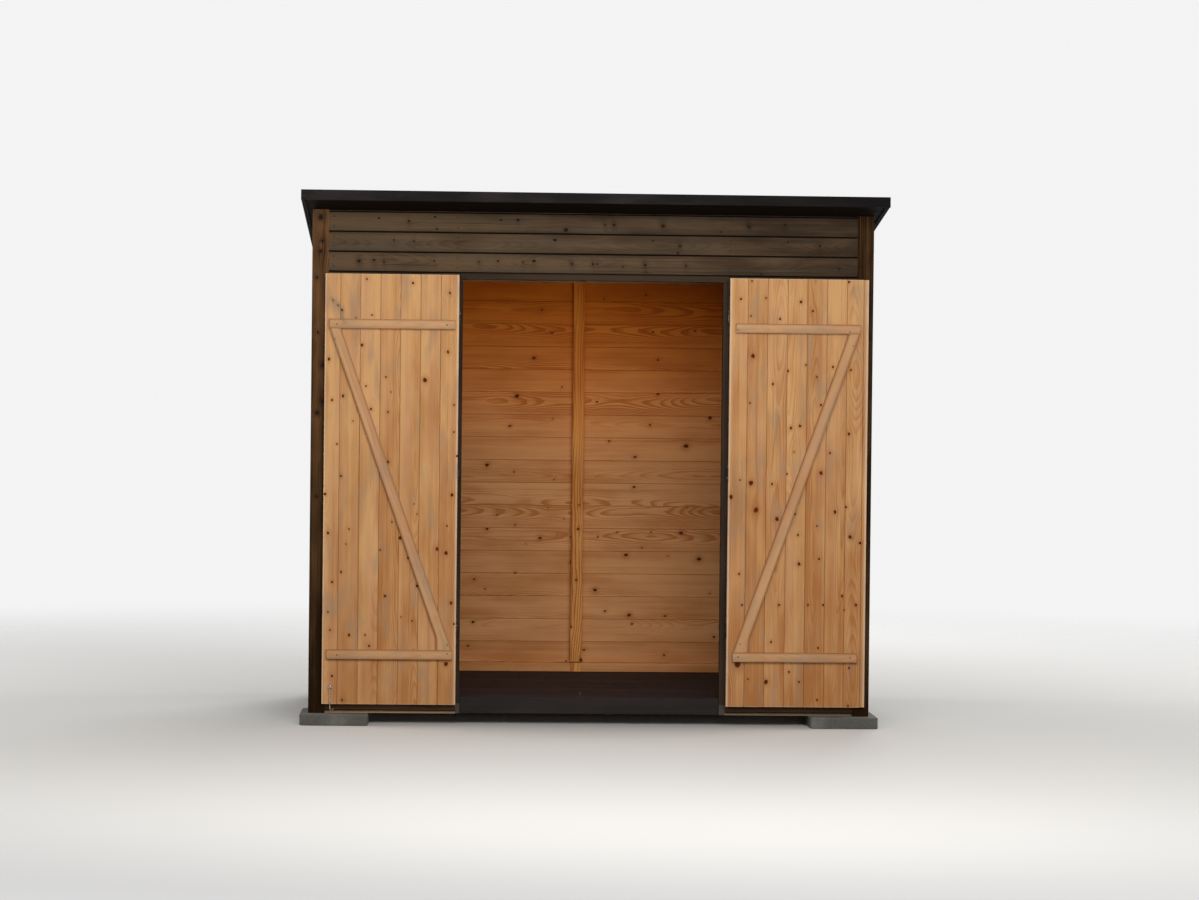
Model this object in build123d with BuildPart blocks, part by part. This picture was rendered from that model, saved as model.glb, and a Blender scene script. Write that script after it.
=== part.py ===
from build123d import *
from math import cos, radians, sin, sqrt, tan
import os

os.makedirs("parts", exist_ok=True)

# Driving dimensions in millimetres.
# The store faces -Y, +X is on its right as seen from the front, and Z is zero on the ground.

# Concrete pavers under the corners
paver_side = 300.0
paver_height = 50.0
paver_out = 36.0
paver_forward = 60.0

# Outer faces of the corner posts
body_width = 2480.0
body_depth = 1520.0
post_width = 72.0

# Wall frame and boarding
stud_depth = 45.0
stud_width = 45.0
board_thickness = 18.0
board_recess = 4.0
front_board_cover = 88.0
wall_board_cover = 110.5
first_wall_board = 92.0
floor_board_cover = 110.0
deck_board_cover = 110.0
board_drop = 12.0
joint_width = 6.0
joint_depth = 2.5
inner_joint_width = 2.0
inner_joint_depth = 1.0
timber_ease = 2.0

# Floor
floor_height = 72.0
floor_board_thickness = 20.0
joist_count = 5
sole_height = 45.0
rail_height = 42.0
threshold_recess = 14.0

# Back wall
back_stud_width = 55.0
back_stud_offset = -10.0
back_rail_recess = 3.0

# Doorway
opening_width = 1151.0
opening_height = 1846.0
lintel_height = 95.0
lintel_show = 28.0
wall_over_doorway = 299.0

# Roof
roof_pitch = 8.0
front_overhang = 242.0
back_overhang = 80.0
side_overhang = 40.0
deck_thickness = 28.0
covering_thickness = 4.0
edge_thickness = 20.0
edge_height = 45.0
edge_drop = 5.0
plate_height = 45.0
rafter_depth = 45.0
rafter_width = 45.0
rafter_count = 3

# Doors
door_thickness = 18.0
left_lap = 12.0
right_lap = 21.5
top_lap = 17.0
bottom_lap = 29.0
stop_gap = 5.0
meeting_gap = 5.0
meeting_lap = 19.0
lip_thickness = 6.5
hinge_board = 80.0
board_gap = 0.3
ledge_thickness = 20.0
ledge_height = 42.0
ledge_length = 550.0
ledge_from_end = 199.0
ledge_clearance = 5.0
brace_width = 45.0
brace_inset = 2.0

# Hinges
hinge_gap = 5.0
hinge_height = 70.0
hinge_low = 337.0
hinge_high = 179.0
leaf_thickness = 2.0
knuckle_radius = 4.5
knuckle_stand = 5.0
knuckle_clearance = 0.3
pin_radius = 2.0
pin_clearance = 0.05

# Cabin hook
wire_radius = 1.75
wire_sides = 6
eye_radius = 7.0
eye_stand = 12.0
hook_from_edge = 37.5
hook_from_foot = 79.0
hook_reach = 95.0
hook_eye_radius = 5.5
hook_bend_radius = 7.0
hook_bend_angle = 200.0
hook_play = 0.3

# Places worked out from the driving dimensions
half_width = body_width / 2
roof_depth = front_overhang + body_depth + back_overhang
front = -roof_depth / 2 + front_overhang
back = front + body_depth
slope = tan(radians(roof_pitch))
base = paver_height
floor_top = base + floor_height
post_depth = board_recess + board_thickness + stud_depth
post_inner = half_width - post_width

frame_face = front + board_recess + board_thickness
frame_inner = front + post_depth
back_frame_face = back - board_recess - board_thickness
back_frame_inner = back - post_depth
side_frame_face = half_width - board_recess - board_thickness
side_frame_inner = side_frame_face - stud_depth

half_opening = opening_width / 2
opening_top = floor_top + opening_height
lintel_top = opening_top + lintel_height
sole_top = base + sole_height
boards_foot = base + board_drop
top_boards_foot = opening_top + lintel_show

soffit = opening_top + wall_over_doorway
deck_front = front - front_overhang + edge_thickness
deck_back = back + back_overhang - edge_thickness
deck_half = half_width + side_overhang - edge_thickness

left_axis = half_opening + left_lap + hinge_gap / 2
right_axis = half_opening + right_lap + hinge_gap / 2
door_foot = floor_top - bottom_lap
door_top = opening_top + top_lap
door_height = door_top - door_foot
closed_inner = frame_face - stop_gap
closed_outer = closed_inner - door_thickness
axis_y = closed_outer - knuckle_stand
open_outer = 2 * axis_y - closed_outer
open_inner = open_outer - door_thickness
left_width = left_axis - hinge_gap / 2
right_width = right_axis - hinge_gap / 2 + meeting_lap
lip_width = meeting_lap + meeting_gap


def under_roof(y):
    """Height of the underside of the roof deck at a place along Y."""
    return soffit - (y - front) * slope


roof_plane = Plane(
    origin=(0, front, soffit),
    x_dir=(1, 0, 0),
    z_dir=(0, sin(radians(roof_pitch)), cos(radians(roof_pitch))),
)


def keep(piece, label):
    """Name a finished piece and write its file."""
    piece.part.label = label
    export_step(piece.part, f"parts/{label}.step")


def block(x_span, y_span, z_span):
    """Add a straight sawn timber or slab between two corners to the open part."""
    spans = (x_span, y_span, z_span)
    with Locations(tuple((low + high) / 2 for low, high in spans)):
        Box(*(high - low for low, high in spans))


def joints_between(low, high, cover, first):
    """Joint lines of a boarded panel: a first board cut to width, then boards of one cover width."""
    count = int((high - low - first) / cover) + 1
    places = [low + first + cover * number for number in range(count)]
    return [place for place in places if place < high - joint_width]


def board_section(low, high, joints, outer, inner):
    """Outline of a boarded panel as (thickness, across) points.

    Each joint is a V groove, wide on the outer face and narrow on the inner face.
    """
    inward = 1 if inner > outer else -1
    points = [(outer, low)]
    for joint in joints:
        points.append((outer, joint - joint_width / 2))
        points.append((outer + inward * joint_depth, joint))
        points.append((outer, joint + joint_width / 2))
    points.append((outer, high))
    points.append((inner, high))
    for joint in reversed(joints):
        points.append((inner, joint + inner_joint_width / 2))
        points.append((inner - inward * inner_joint_depth, joint))
        points.append((inner, joint - inner_joint_width / 2))
    points.append((inner, low))
    return points


# Pavers: one square slab under each corner
with BuildPart() as pavers:
    with BuildSketch():
        with GridLocations(
            body_width + 2 * paver_out - paver_side,
            body_depth + 2 * paver_forward - paver_side,
            2,
            2,
        ):
            with Locations((0, (front + back) / 2)):
                Rectangle(paver_side, paver_side)
    extrude(amount=paver_height)
    chamfer(pavers.edges().group_by(Axis.Z)[-1], timber_ease)
keep(pavers, "pavers")

# Perimeter beams under the back and side walls
with BuildPart() as back_beam:
    block((-post_inner, post_inner), (back_frame_inner, back_frame_face), (base, floor_top))
keep(back_beam, "back_beam")

with BuildPart() as side_beams:
    block((side_frame_inner, side_frame_face), (frame_inner, back_frame_inner), (base, floor_top))
    mirror(about=Plane.YZ)
keep(side_beams, "side_beams")

# Floor: joists run from front to back and carry boards that run from side to side
with BuildPart() as floor_joists:
    joist_pitch = 2 * side_frame_inner / (joist_count + 1)
    with BuildSketch(Plane.XY.offset(base)):
        with Locations((0, (frame_inner + back_frame_inner) / 2)):
            with GridLocations(joist_pitch, 0, joist_count, 1):
                Rectangle(stud_width, back_frame_inner - frame_inner)
    extrude(amount=floor_height - floor_board_thickness)
keep(floor_joists, "floor_joists")

with BuildPart() as floor_boards:
    floor_joints = joints_between(frame_inner, back_frame_inner, floor_board_cover, floor_board_cover)
    floor_under = floor_top - floor_board_thickness
    floor_points = board_section(frame_inner, back_frame_inner, floor_joints, floor_under, floor_top)
    with BuildSketch(Plane.YZ.offset(-side_frame_inner)):
        with BuildLine():
            Polyline([(across, depth) for depth, across in floor_points], close=True)
        make_face()
    extrude(amount=2 * side_frame_inner)
keep(floor_boards, "floor_boards")

# Threshold board across the doorway, between the sole plates
with BuildPart() as threshold:
    block((-half_opening, half_opening), (frame_face + threshold_recess, frame_inner), (base, floor_top))
    chamfer(threshold.edges().filter_by(Axis.X).sort_by(Axis.Y)[0:2].sort_by(Axis.Z)[-1], timber_ease)
keep(threshold, "threshold")


def corner_posts(y_span, label):
    """Pair of square corner posts, their tops cut to the slope of the roof."""
    with BuildPart() as posts:
        block((post_inner, half_width), y_span, (base, under_roof(y_span[0]) + timber_ease))
        chamfer(posts.edges().filter_by(Axis.Z), timber_ease)
        split(bisect_by=roof_plane, keep=Keep.BOTTOM)
        mirror(about=Plane.YZ)
    keep(posts, label)


corner_posts((front, frame_inner), "front_posts")
corner_posts((back_frame_inner, back), "back_posts")

# Front wall frame
with BuildPart() as front_sole_plates:
    block((half_opening, post_inner), (frame_face, frame_inner), (base, sole_top))
    mirror(about=Plane.YZ)
keep(front_sole_plates, "front_sole_plates")


# Door jambs: the studs at the two sides of the doorway
with BuildPart() as door_jambs:
    block(
        (half_opening, half_opening + stud_width),
        (frame_face, frame_inner),
        (sole_top, opening_top),
    )
    chamfer(door_jambs.edges().filter_by(Axis.Z), timber_ease)
    mirror(about=Plane.YZ)
keep(door_jambs, "door_jambs")

with BuildPart() as lintel:
    block((-post_inner, post_inner), (frame_face, frame_inner), (opening_top, lintel_top))
    chamfer(lintel.edges().filter_by(Axis.X).group_by(Axis.Z)[0], timber_ease)
keep(lintel, "lintel")

plate_foot = under_roof(frame_inner) - plate_height
with BuildPart() as front_studs:
    block((post_inner - stud_width, post_inner), (frame_face, frame_inner), (sole_top, opening_top))
    block((post_inner - stud_width, post_inner), (frame_face, frame_inner), (lintel_top, plate_foot))
    mirror(about=Plane.YZ)
    block((-stud_width / 2, stud_width / 2), (frame_face, frame_inner), (lintel_top, plate_foot))
keep(front_studs, "front_studs")

with BuildPart() as front_top_plate:
    block((-post_inner, post_inner), (frame_face, frame_inner), (plate_foot, soffit))
    split(bisect_by=roof_plane, keep=Keep.BOTTOM)
keep(front_top_plate, "front_top_plate")

# Front boarding: boards run from side to side between the corner posts
clad_front = front + board_recess


def front_boards(x_span, z_span, joints, label):
    """Boarded panel of the front wall, cut to the roof where it reaches it."""
    section = board_section(z_span[0], z_span[1], joints, clad_front, frame_face)
    with BuildPart() as panel:
        with BuildSketch(Plane.YZ.offset(x_span[0])):
            with BuildLine():
                Polyline(section, close=True)
            make_face()
        extrude(amount=x_span[1] - x_span[0])
        split(bisect_by=roof_plane, keep=Keep.BOTTOM)
    keep(panel, label)


front_boards(
    (-post_inner, post_inner),
    (top_boards_foot, soffit),
    joints_between(top_boards_foot, under_roof(frame_face), front_board_cover, front_board_cover),
    "front_top_boards",
)
low_span = (boards_foot, top_boards_foot)
first_front_board = (top_boards_foot - boards_foot) % front_board_cover
low_joints = joints_between(boards_foot, top_boards_foot, front_board_cover, first_front_board)
front_boards((-post_inner, -left_axis - hinge_gap / 2), low_span, low_joints, "front_left_boards")
front_boards((right_axis + hinge_gap / 2, post_inner), low_span, low_joints, "front_right_boards")

# Back wall: rail, studs and top plate inside, boards outside
back_plate_foot = under_roof(back_frame_face) - plate_height
rail_top = floor_top + rail_height
with BuildPart() as back_bottom_rail:
    rail_span = (back_frame_inner + back_rail_recess, back_frame_face)
    block((-post_inner, back_stud_offset - back_stud_width / 2), rail_span, (floor_top, rail_top))
    block((back_stud_offset + back_stud_width / 2, post_inner), rail_span, (floor_top, rail_top))
    chamfer(back_bottom_rail.edges().filter_by(Axis.X).group_by(Axis.Y)[0].group_by(Axis.Z)[-1], timber_ease)
keep(back_bottom_rail, "back_bottom_rail")

with BuildPart() as back_studs:
    block(
        (back_stud_offset - back_stud_width / 2, back_stud_offset + back_stud_width / 2),
        (back_frame_inner, back_frame_face),
        (floor_top, back_plate_foot),
    )
    for side in (-1, 1):
        block(
            sorted((side * (post_inner - stud_width), side * post_inner)),
            (back_frame_inner, back_frame_face),
            (rail_top, back_plate_foot),
        )
    chamfer(back_studs.edges().filter_by(Axis.Z), timber_ease)
keep(back_studs, "back_studs")

with BuildPart() as back_top_plate:
    block(
        (-post_inner, post_inner),
        (back_frame_inner, back_frame_face),
        (back_plate_foot, under_roof(back_frame_inner)),
    )
    split(bisect_by=roof_plane, keep=Keep.BOTTOM)
keep(back_top_plate, "back_top_plate")

with BuildPart() as back_boards:
    back_boards_top = under_roof(back_frame_face)
    back_joints = joints_between(boards_foot, back_boards_top, wall_board_cover, first_wall_board)
    back_section = board_section(
        boards_foot, back_boards_top, back_joints, back - board_recess, back_frame_face
    )
    with BuildSketch(Plane.YZ.offset(-post_inner)):
        with BuildLine():
            Polyline(back_section, close=True)
        make_face()
    extrude(amount=2 * post_inner)
    split(bisect_by=roof_plane, keep=Keep.BOTTOM)
keep(back_boards, "back_boards")

# Side walls: the same frame and boards, their tops cut to the slope of the roof
with BuildPart() as side_bottom_rails:
    block(
        (side_frame_inner, side_frame_face),
        (frame_inner, back_frame_inner),
        (floor_top, rail_top),
    )
    mirror(about=Plane.YZ)
keep(side_bottom_rails, "side_bottom_rails")

side_middle = (frame_inner + back_frame_inner) / 2
side_length = back_frame_inner - frame_inner
with BuildPart() as side_studs:
    for y in (
        frame_inner + stud_width / 2,
        side_middle,
        back_frame_inner - stud_width / 2,
    ):
        block(
            (side_frame_inner, side_frame_face),
            (y - stud_width / 2, y + stud_width / 2),
            (rail_top, soffit),
        )
    split(bisect_by=roof_plane.offset(-plate_height), keep=Keep.BOTTOM)
    mirror(about=Plane.YZ)
keep(side_studs, "side_studs")


def sloping_section(y_span, low, high):
    """Outline along the roof slope, plumb at both ends, from low to high above the soffit."""
    upright = cos(radians(roof_pitch))
    Polygon(
        (y_span[0], under_roof(y_span[0]) + low / upright),
        (y_span[1], under_roof(y_span[1]) + low / upright),
        (y_span[1], under_roof(y_span[1]) + high / upright),
        (y_span[0], under_roof(y_span[0]) + high / upright),
        align=None,
    )


with BuildPart() as side_top_rails:
    with BuildSketch(Plane.YZ.offset(side_frame_inner)):
        sloping_section((frame_inner, back_frame_inner), -plate_height, 0)
    extrude(amount=stud_depth)
    mirror(about=Plane.YZ)
keep(side_top_rails, "side_top_rails")


def side_boards(side, label):
    """Boarded side wall between the corner posts."""
    outer = side * (half_width - board_recess)
    inner = side * side_frame_face
    joints = joints_between(boards_foot, under_roof(frame_inner), wall_board_cover, first_wall_board)
    section = board_section(boards_foot, soffit, joints, outer, inner)
    with BuildPart() as panel:
        with BuildSketch(Plane.XZ.offset(-back_frame_inner)):
            with BuildLine():
                Polyline(section, close=True)
            make_face()
        extrude(amount=side_length)
        split(bisect_by=roof_plane, keep=Keep.BOTTOM)
    keep(panel, label)


side_boards(-1, "left_boards")
side_boards(1, "right_boards")

# Roof: rafters between the plates, a boarded deck, the covering and an edge board all round
with BuildPart() as rafters:
    rafter_pitch = 2 * post_inner / (rafter_count + 1)
    for number in range(rafter_count):
        x = (number - (rafter_count - 1) / 2) * rafter_pitch
        with BuildSketch(Plane.YZ.offset(x - rafter_width / 2)):
            sloping_section((frame_inner, back_frame_inner), -rafter_depth, 0)
        extrude(amount=rafter_width)
keep(rafters, "rafters")

with BuildPart() as roof_deck:
    deck_joints = joints_between(deck_front, deck_back, deck_board_cover, deck_board_cover)
    rise = deck_thickness / cos(radians(roof_pitch))
    deck_points = board_section(deck_front, deck_back, deck_joints, 0, rise)
    with BuildSketch(Plane.YZ.offset(-deck_half)):
        with BuildLine():
            Polyline([(y, under_roof(y) + height) for height, y in deck_points], close=True)
        make_face()
    extrude(amount=2 * deck_half)
keep(roof_deck, "roof_deck")

with BuildPart() as roof_covering:
    with BuildSketch(Plane.YZ.offset(-deck_half)):
        sloping_section((deck_front, deck_back), deck_thickness, deck_thickness + covering_thickness)
    extrude(amount=2 * deck_half)
keep(roof_covering, "roof_covering")


def cross_edge(y_span, deck_end, label):
    """Edge board across the front or the back of the roof."""
    foot = under_roof(deck_end) - edge_drop
    reach = deck_half + edge_thickness
    with BuildPart() as edge:
        block((-reach, reach), y_span, (foot, foot + edge_height))
        chamfer(edge.edges().filter_by(Axis.X), timber_ease)
    keep(edge, label)


cross_edge((deck_front - edge_thickness, deck_front), deck_front, "fascia_front")
cross_edge((deck_back, deck_back + edge_thickness), deck_back, "fascia_back")


# Bargeboards: edge boards down the slope at the two sides of the roof
with BuildPart() as bargeboards:
    with BuildSketch(Plane.YZ.offset(deck_half)):
        sloping_section((deck_front, deck_back), -edge_drop, edge_height - edge_drop)
    extrude(amount=edge_thickness)
    mirror(about=Plane.YZ)
keep(bargeboards, "bargeboards")


# Doors: both stand open, folded flat against the front, with their inner faces to the front
def door_boards(side, axis, width, lip_on_outer, label):
    """Vertical boards of a door, measured across from its hinged edge.

    The last board is rebated along the free edge, so that the two doors lap where they meet.
    """
    edge = axis + hinge_gap / 2
    joints = joints_between(0, width - lip_width, front_board_cover, hinge_board)
    last_joint = joints[-1]
    main = board_section(0, last_joint - board_gap / 2, joints[:-1], open_inner, open_outer)
    lip_depth = lip_thickness if lip_on_outer else door_thickness - lip_thickness - stop_gap
    lip_face = open_outer if lip_on_outer else open_inner
    lip_back = lip_face - lip_depth if lip_on_outer else lip_face + lip_depth
    other_face = open_inner if lip_on_outer else open_outer
    last = [
        (lip_face, last_joint + board_gap / 2),
        (lip_face, width),
        (lip_back, width),
        (lip_back, width - lip_width),
        (other_face, width - lip_width),
        (other_face, last_joint + board_gap / 2),
    ]
    with BuildPart() as boards:
        with BuildSketch(Plane.XY.offset(door_foot)):
            for outline in (main, last):
                with BuildLine():
                    Polyline([(side * (edge + across), y) for y, across in outline], close=True)
                make_face()
        extrude(amount=door_height)
    keep(boards, label)


def ledge_span(axis):
    """How far from the centre a ledge starts and ends: it clears the jamb once the door is shut."""
    start = 2 * axis - (half_opening - ledge_clearance)
    return start, start + ledge_length


lower_ledge = (door_foot + ledge_from_end, door_foot + ledge_from_end + ledge_height)
upper_ledge = (door_top - ledge_from_end - ledge_height, door_top - ledge_from_end)
ledge_face = open_inner - ledge_thickness


def door_ledges(side, axis, label):
    """Two ledges, screwed flat across the inner face of the door."""
    start, end = ledge_span(axis)
    with BuildPart() as ledges:
        for z_span in (lower_ledge, upper_ledge):
            block(sorted((side * start, side * end)), (ledge_face, open_inner), z_span)
        chamfer(ledges.faces().sort_by(Axis.Y)[0:2].edges().filter_by(Axis.X), timber_ease)
    keep(ledges, label)


def door_brace(side, axis, label):
    """Brace from the hinged end of the lower ledge up to the free end of the upper one."""
    start, end = ledge_span(axis)
    rise = upper_ledge[0] - lower_ledge[1]
    run = end - start - 2 * brace_inset
    # A level cut across a slanting board is this long, from the board's width and its rise and run
    slant = rise * sqrt(rise**2 + run**2 - brace_width**2)
    level_width = brace_width * (slant - brace_width * run) / (rise**2 - brace_width**2)
    foot = start + brace_inset
    head = end - brace_inset
    with BuildPart() as brace:
        with BuildSketch(Plane.XZ.offset(-open_inner)):
            with BuildLine():
                Polyline(
                    (side * foot, lower_ledge[1]),
                    (side * (foot + level_width), lower_ledge[1]),
                    (side * head, upper_ledge[0]),
                    (side * (head - level_width), upper_ledge[0]),
                    close=True,
                )
            make_face()
        extrude(amount=ledge_thickness)
        front_edges = brace.faces().sort_by(Axis.Y)[0].edges()
        chamfer(front_edges.sort_by(SortBy.LENGTH)[2:4], timber_ease)
    keep(brace, label)


def hinge_levels():
    """Heights of the three hinges of a door, at their middles."""
    low = door_foot + hinge_low
    high = door_top - hinge_high
    return low, (low + high) / 2, high


knuckle_length = hinge_height / 3


def hinge_leaf(side, axis, y_span, z_span):
    """Add the flat of a leaf, beside the pin on the side away from the doorway."""
    edge = axis + hinge_gap / 2
    block(sorted((side * (edge - leaf_thickness), side * edge)), sorted(y_span), z_span)


def barrel(side, axis, radius, z_span, mode=Mode.ADD):
    """Add a knuckle or a pin on the hinge axis, or cut a bore along it."""
    with Locations((side * axis, axis_y, (z_span[0] + z_span[1]) / 2)):
        Cylinder(radius, z_span[1] - z_span[0], mode=mode)


def frame_leaves(side, axis, label):
    """Fixed halves of the hinges: leaf on the edge of the boarding, end knuckles and pin."""
    leaf_end = axis_y + knuckle_radius + 2 * knuckle_clearance
    with BuildPart() as leaves:
        for middle in hinge_levels():
            foot = middle - hinge_height / 2
            head = middle + hinge_height / 2
            hinge_leaf(side, axis, (leaf_end, frame_face), (foot, head))
            for z_span in ((foot, foot + knuckle_length), (head - knuckle_length, head)):
                hinge_leaf(side, axis, (axis_y, leaf_end), z_span)
                barrel(side, axis, knuckle_radius, z_span)
            barrel(side, axis, pin_radius, (foot, head))
    keep(leaves, label)


def door_leaves(side, axis, label):
    """Moving halves of the hinges: leaf on the edge of the door and the middle knuckle."""
    leaf_end = axis_y - knuckle_radius - 2 * knuckle_clearance
    bore = pin_radius + pin_clearance
    with BuildPart() as leaves:
        for middle in hinge_levels():
            foot = middle - hinge_height / 2
            head = middle + hinge_height / 2
            z_span = (foot + knuckle_length + knuckle_clearance, head - knuckle_length - knuckle_clearance)
            hinge_leaf(side, axis, (open_inner, leaf_end), (foot, head))
            hinge_leaf(side, axis, (leaf_end, axis_y), z_span)
            barrel(side, axis, knuckle_radius, z_span)
            barrel(side, axis, bore, (foot, head), mode=Mode.SUBTRACT)
    keep(leaves, label)


for side, word, axis, width, outer_lip in (
    (-1, "left", left_axis, left_width, False),
    (1, "right", right_axis, right_width, True),
):
    door_boards(side, axis, width, outer_lip, f"{word}_door_boards")
    door_ledges(side, axis, f"{word}_door_ledges")
    door_brace(side, axis, f"{word}_door_brace")
    frame_leaves(side, axis, f"{word}_hinge_frame_leaves")
    door_leaves(side, axis, f"{word}_hinge_door_leaves")

# Cabin hook: it hangs from a screw eye near the foot of the left door
hook_x = -(left_axis + hinge_gap / 2 + left_width - hook_from_edge)
eye_y = open_inner - eye_stand
eye_z = door_foot + hook_from_foot
pivot_z = eye_z - (eye_radius - 2 * wire_radius - hook_play)


def screw_eye(centre, shank, label):
    """Screw eye: a wire ring about the X direction, and a shank down to what it is screwed into."""
    across = Vector(shank).cross(Vector(1, 0, 0))
    with BuildPart() as eye:
        with BuildSketch(Plane(origin=centre, x_dir=shank, z_dir=across)):
            with Locations((eye_radius, 0)):
                RegularPolygon(wire_radius, wire_sides)
        revolve(axis=Axis(centre, (1, 0, 0)))
        with BuildSketch(Plane(origin=centre, z_dir=shank).offset(eye_radius)):
            RegularPolygon(wire_radius, wire_sides)
        extrude(amount=eye_stand - eye_radius)
    keep(eye, label)


screw_eye((hook_x, eye_y, eye_z), (0, 1, 0), "hook_eye")

with BuildPart() as hook:
    loop_z = pivot_z - hook_eye_radius
    shank_top = loop_z - hook_eye_radius
    shank_foot = pivot_z - hook_reach
    with BuildSketch(Plane.YZ.offset(hook_x)):
        with Locations((eye_y, pivot_z)):
            RegularPolygon(wire_radius, wire_sides)
    revolve(axis=Axis((hook_x, eye_y, loop_z), (0, 1, 0)))
    with BuildLine(Plane.XZ.offset(-eye_y)) as hook_line:
        Line((hook_x, shank_top), (hook_x, shank_foot))
        JernArc((hook_x, shank_foot), (0, -1), hook_bend_radius, hook_bend_angle)
    with BuildSketch(Plane.XY.offset(shank_top)):
        with Locations((hook_x, eye_y)):
            RegularPolygon(wire_radius, wire_sides)
    sweep(path=hook_line.wires()[0])
keep(hook, "hook")

# Keeper on the floor: the hook reaches it once the left door is shut
keeper_x = -(2 * left_axis) - hook_x
keeper_z = floor_top + eye_stand
keeper_y = 2 * axis_y - eye_y + sqrt(hook_reach**2 - (pivot_z - keeper_z) ** 2)
screw_eye((keeper_x, keeper_y, keeper_z), (0, 0, -1), "hook_keeper")
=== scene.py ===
import math

import bmesh
import bpy
import numpy as np
from mathutils import Matrix, Vector


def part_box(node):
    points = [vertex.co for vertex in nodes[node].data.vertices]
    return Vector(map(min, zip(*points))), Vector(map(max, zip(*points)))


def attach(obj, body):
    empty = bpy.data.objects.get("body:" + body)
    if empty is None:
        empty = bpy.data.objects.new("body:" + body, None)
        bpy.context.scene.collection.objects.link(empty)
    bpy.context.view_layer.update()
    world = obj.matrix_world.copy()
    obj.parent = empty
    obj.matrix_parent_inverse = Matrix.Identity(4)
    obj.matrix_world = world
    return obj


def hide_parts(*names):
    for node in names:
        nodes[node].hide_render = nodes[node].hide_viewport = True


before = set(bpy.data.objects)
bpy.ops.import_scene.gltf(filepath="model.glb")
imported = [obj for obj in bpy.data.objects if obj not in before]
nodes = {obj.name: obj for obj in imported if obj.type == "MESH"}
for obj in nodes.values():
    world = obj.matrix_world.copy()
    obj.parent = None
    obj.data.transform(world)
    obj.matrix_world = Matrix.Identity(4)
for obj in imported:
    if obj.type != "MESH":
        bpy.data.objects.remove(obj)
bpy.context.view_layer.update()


# Pavers: four loose square slabs of grey cast concrete, one under each corner of the store.
# Casting leaves small air holes in the faces, and handling has rounded and chipped the arrises.
paver_side = 0.300
# Painted shade: these three greys are darkened for the shade that the slabs lie in.
paver_shaded_grey = (0.100, 0.095, 0.084, 1)
paver_pale = (0.165, 0.158, 0.142, 1)
paver_dark = (0.045, 0.042, 0.036, 1)
corner_power = 26
chip_pitch = 0.035
chip_depth = 0.006


def shader_node(tree, kind, inputs=None, **settings):
    """Add a shader node, set its properties, and connect or fill its inputs by name or number.

    A function among the inputs makes its value for the tree.
    """
    made = tree.nodes.new(kind)
    for name, value in settings.items():
        setattr(made, name, value)
    for name, value in (inputs or {}).items():
        value = value(tree) if callable(value) else value
        if isinstance(value, bpy.types.NodeSocket):
            tree.links.new(value, made.inputs[name])
        else:
            made.inputs[name].default_value = value
    return made


def object_place(tree):
    """A point's place in its object's own coordinates."""
    return shader_node(tree, "ShaderNodeTexCoord").outputs["Object"]


def parts_of(tree, vector):
    """The three parts of a vector."""
    return shader_node(tree, "ShaderNodeSeparateXYZ", {0: vector}).outputs


def calc(tree, operation, *values, clamp=False):
    """One arithmetic step between sockets or numbers."""
    inputs = dict(enumerate(values))
    return shader_node(tree, "ShaderNodeMath", inputs, operation=operation, use_clamp=clamp).outputs[0]


def scaled(tree, vector, scale, shift=(0, 0, 0)):
    """A vector times one factor for each axis, plus a shift."""
    inputs = {0: vector, 1: scale, 2: shift}
    return shader_node(tree, "ShaderNodeVectorMath", inputs, operation="MULTIPLY_ADD").outputs[0]


def grain_noise(tree, vector, scale, detail=2.0, output="Fac"):
    """Noise stretched by one factor for each axis."""
    inputs = {"Vector": scaled(tree, vector, scale), "Scale": 1.0, "Detail": detail}
    return shader_node(tree, "ShaderNodeTexNoise", inputs).outputs[output]


def blend_colour(tree, factor, first, second):
    """Mix two colours."""
    inputs = {0: factor, 6: first, 7: second}
    return shader_node(tree, "ShaderNodeMix", inputs, data_type="RGBA").outputs[2]


def ease(tree, value, low, high, first=0.0, last=1.0):
    """Smooth step from first to last as the value goes from low to high."""
    inputs = {"Value": value, "From Min": low, "From Max": high, "To Min": first, "To Max": last}
    return shader_node(tree, "ShaderNodeMapRange", inputs, interpolation_type="SMOOTHSTEP").outputs[0]


def new_material(name, **constants):
    """A material with one principled shader whose even values are set on its own sockets."""
    made = bpy.data.materials.new(name)
    made.use_nodes = True
    tree = made.node_tree
    shader = tree.nodes["Principled BSDF"]
    for socket, value in constants.items():
        shader.inputs[socket.replace("_", " ")].default_value = value
    return made, tree, shader


def relief(tree, shader, height, depth):
    """Bump of a real depth in metres."""
    bump = shader_node(tree, "ShaderNodeBump", {"Height": height, "Distance": depth, "Strength": 1.0})
    tree.links.new(bump.outputs[0], shader.inputs["Normal"])


def linked(name, data):
    """Make an object from its data and put it in the scene."""
    made = bpy.data.objects.new(name, data)
    bpy.context.scene.collection.objects.link(made)
    return made


def new_piece(name, points, faces, materials, finishes=None, weld=False, smooth=False, **values):
    """Make a mesh object from computed points and faces, with its materials and point attributes."""
    mesh = bpy.data.meshes.new(name)
    mesh.from_pydata(np.asarray(points, float).reshape(-1, 3).tolist(), [], faces)
    for material in materials:
        mesh.materials.append(material)
    if finishes is not None:
        mesh.polygons.foreach_set("material_index", np.asarray(finishes, np.int32))
    for label, value in values.items():
        kind, key = ("FLOAT_VECTOR", "vector") if value.ndim == 2 else ("FLOAT", "value")
        layer = mesh.attributes.new(label, kind, "POINT")
        layer.data.foreach_set(key, value.astype(np.float32).ravel())
    work = bmesh.new()
    work.from_mesh(mesh)
    if weld:
        bmesh.ops.remove_doubles(work, verts=work.verts, dist=1e-6)
    bmesh.ops.recalc_face_normals(work, faces=work.faces)
    work.to_mesh(mesh)
    work.free()
    mesh.polygons.foreach_set("use_smooth", np.full(len(mesh.polygons), smooth))
    return linked(name, mesh)


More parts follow.
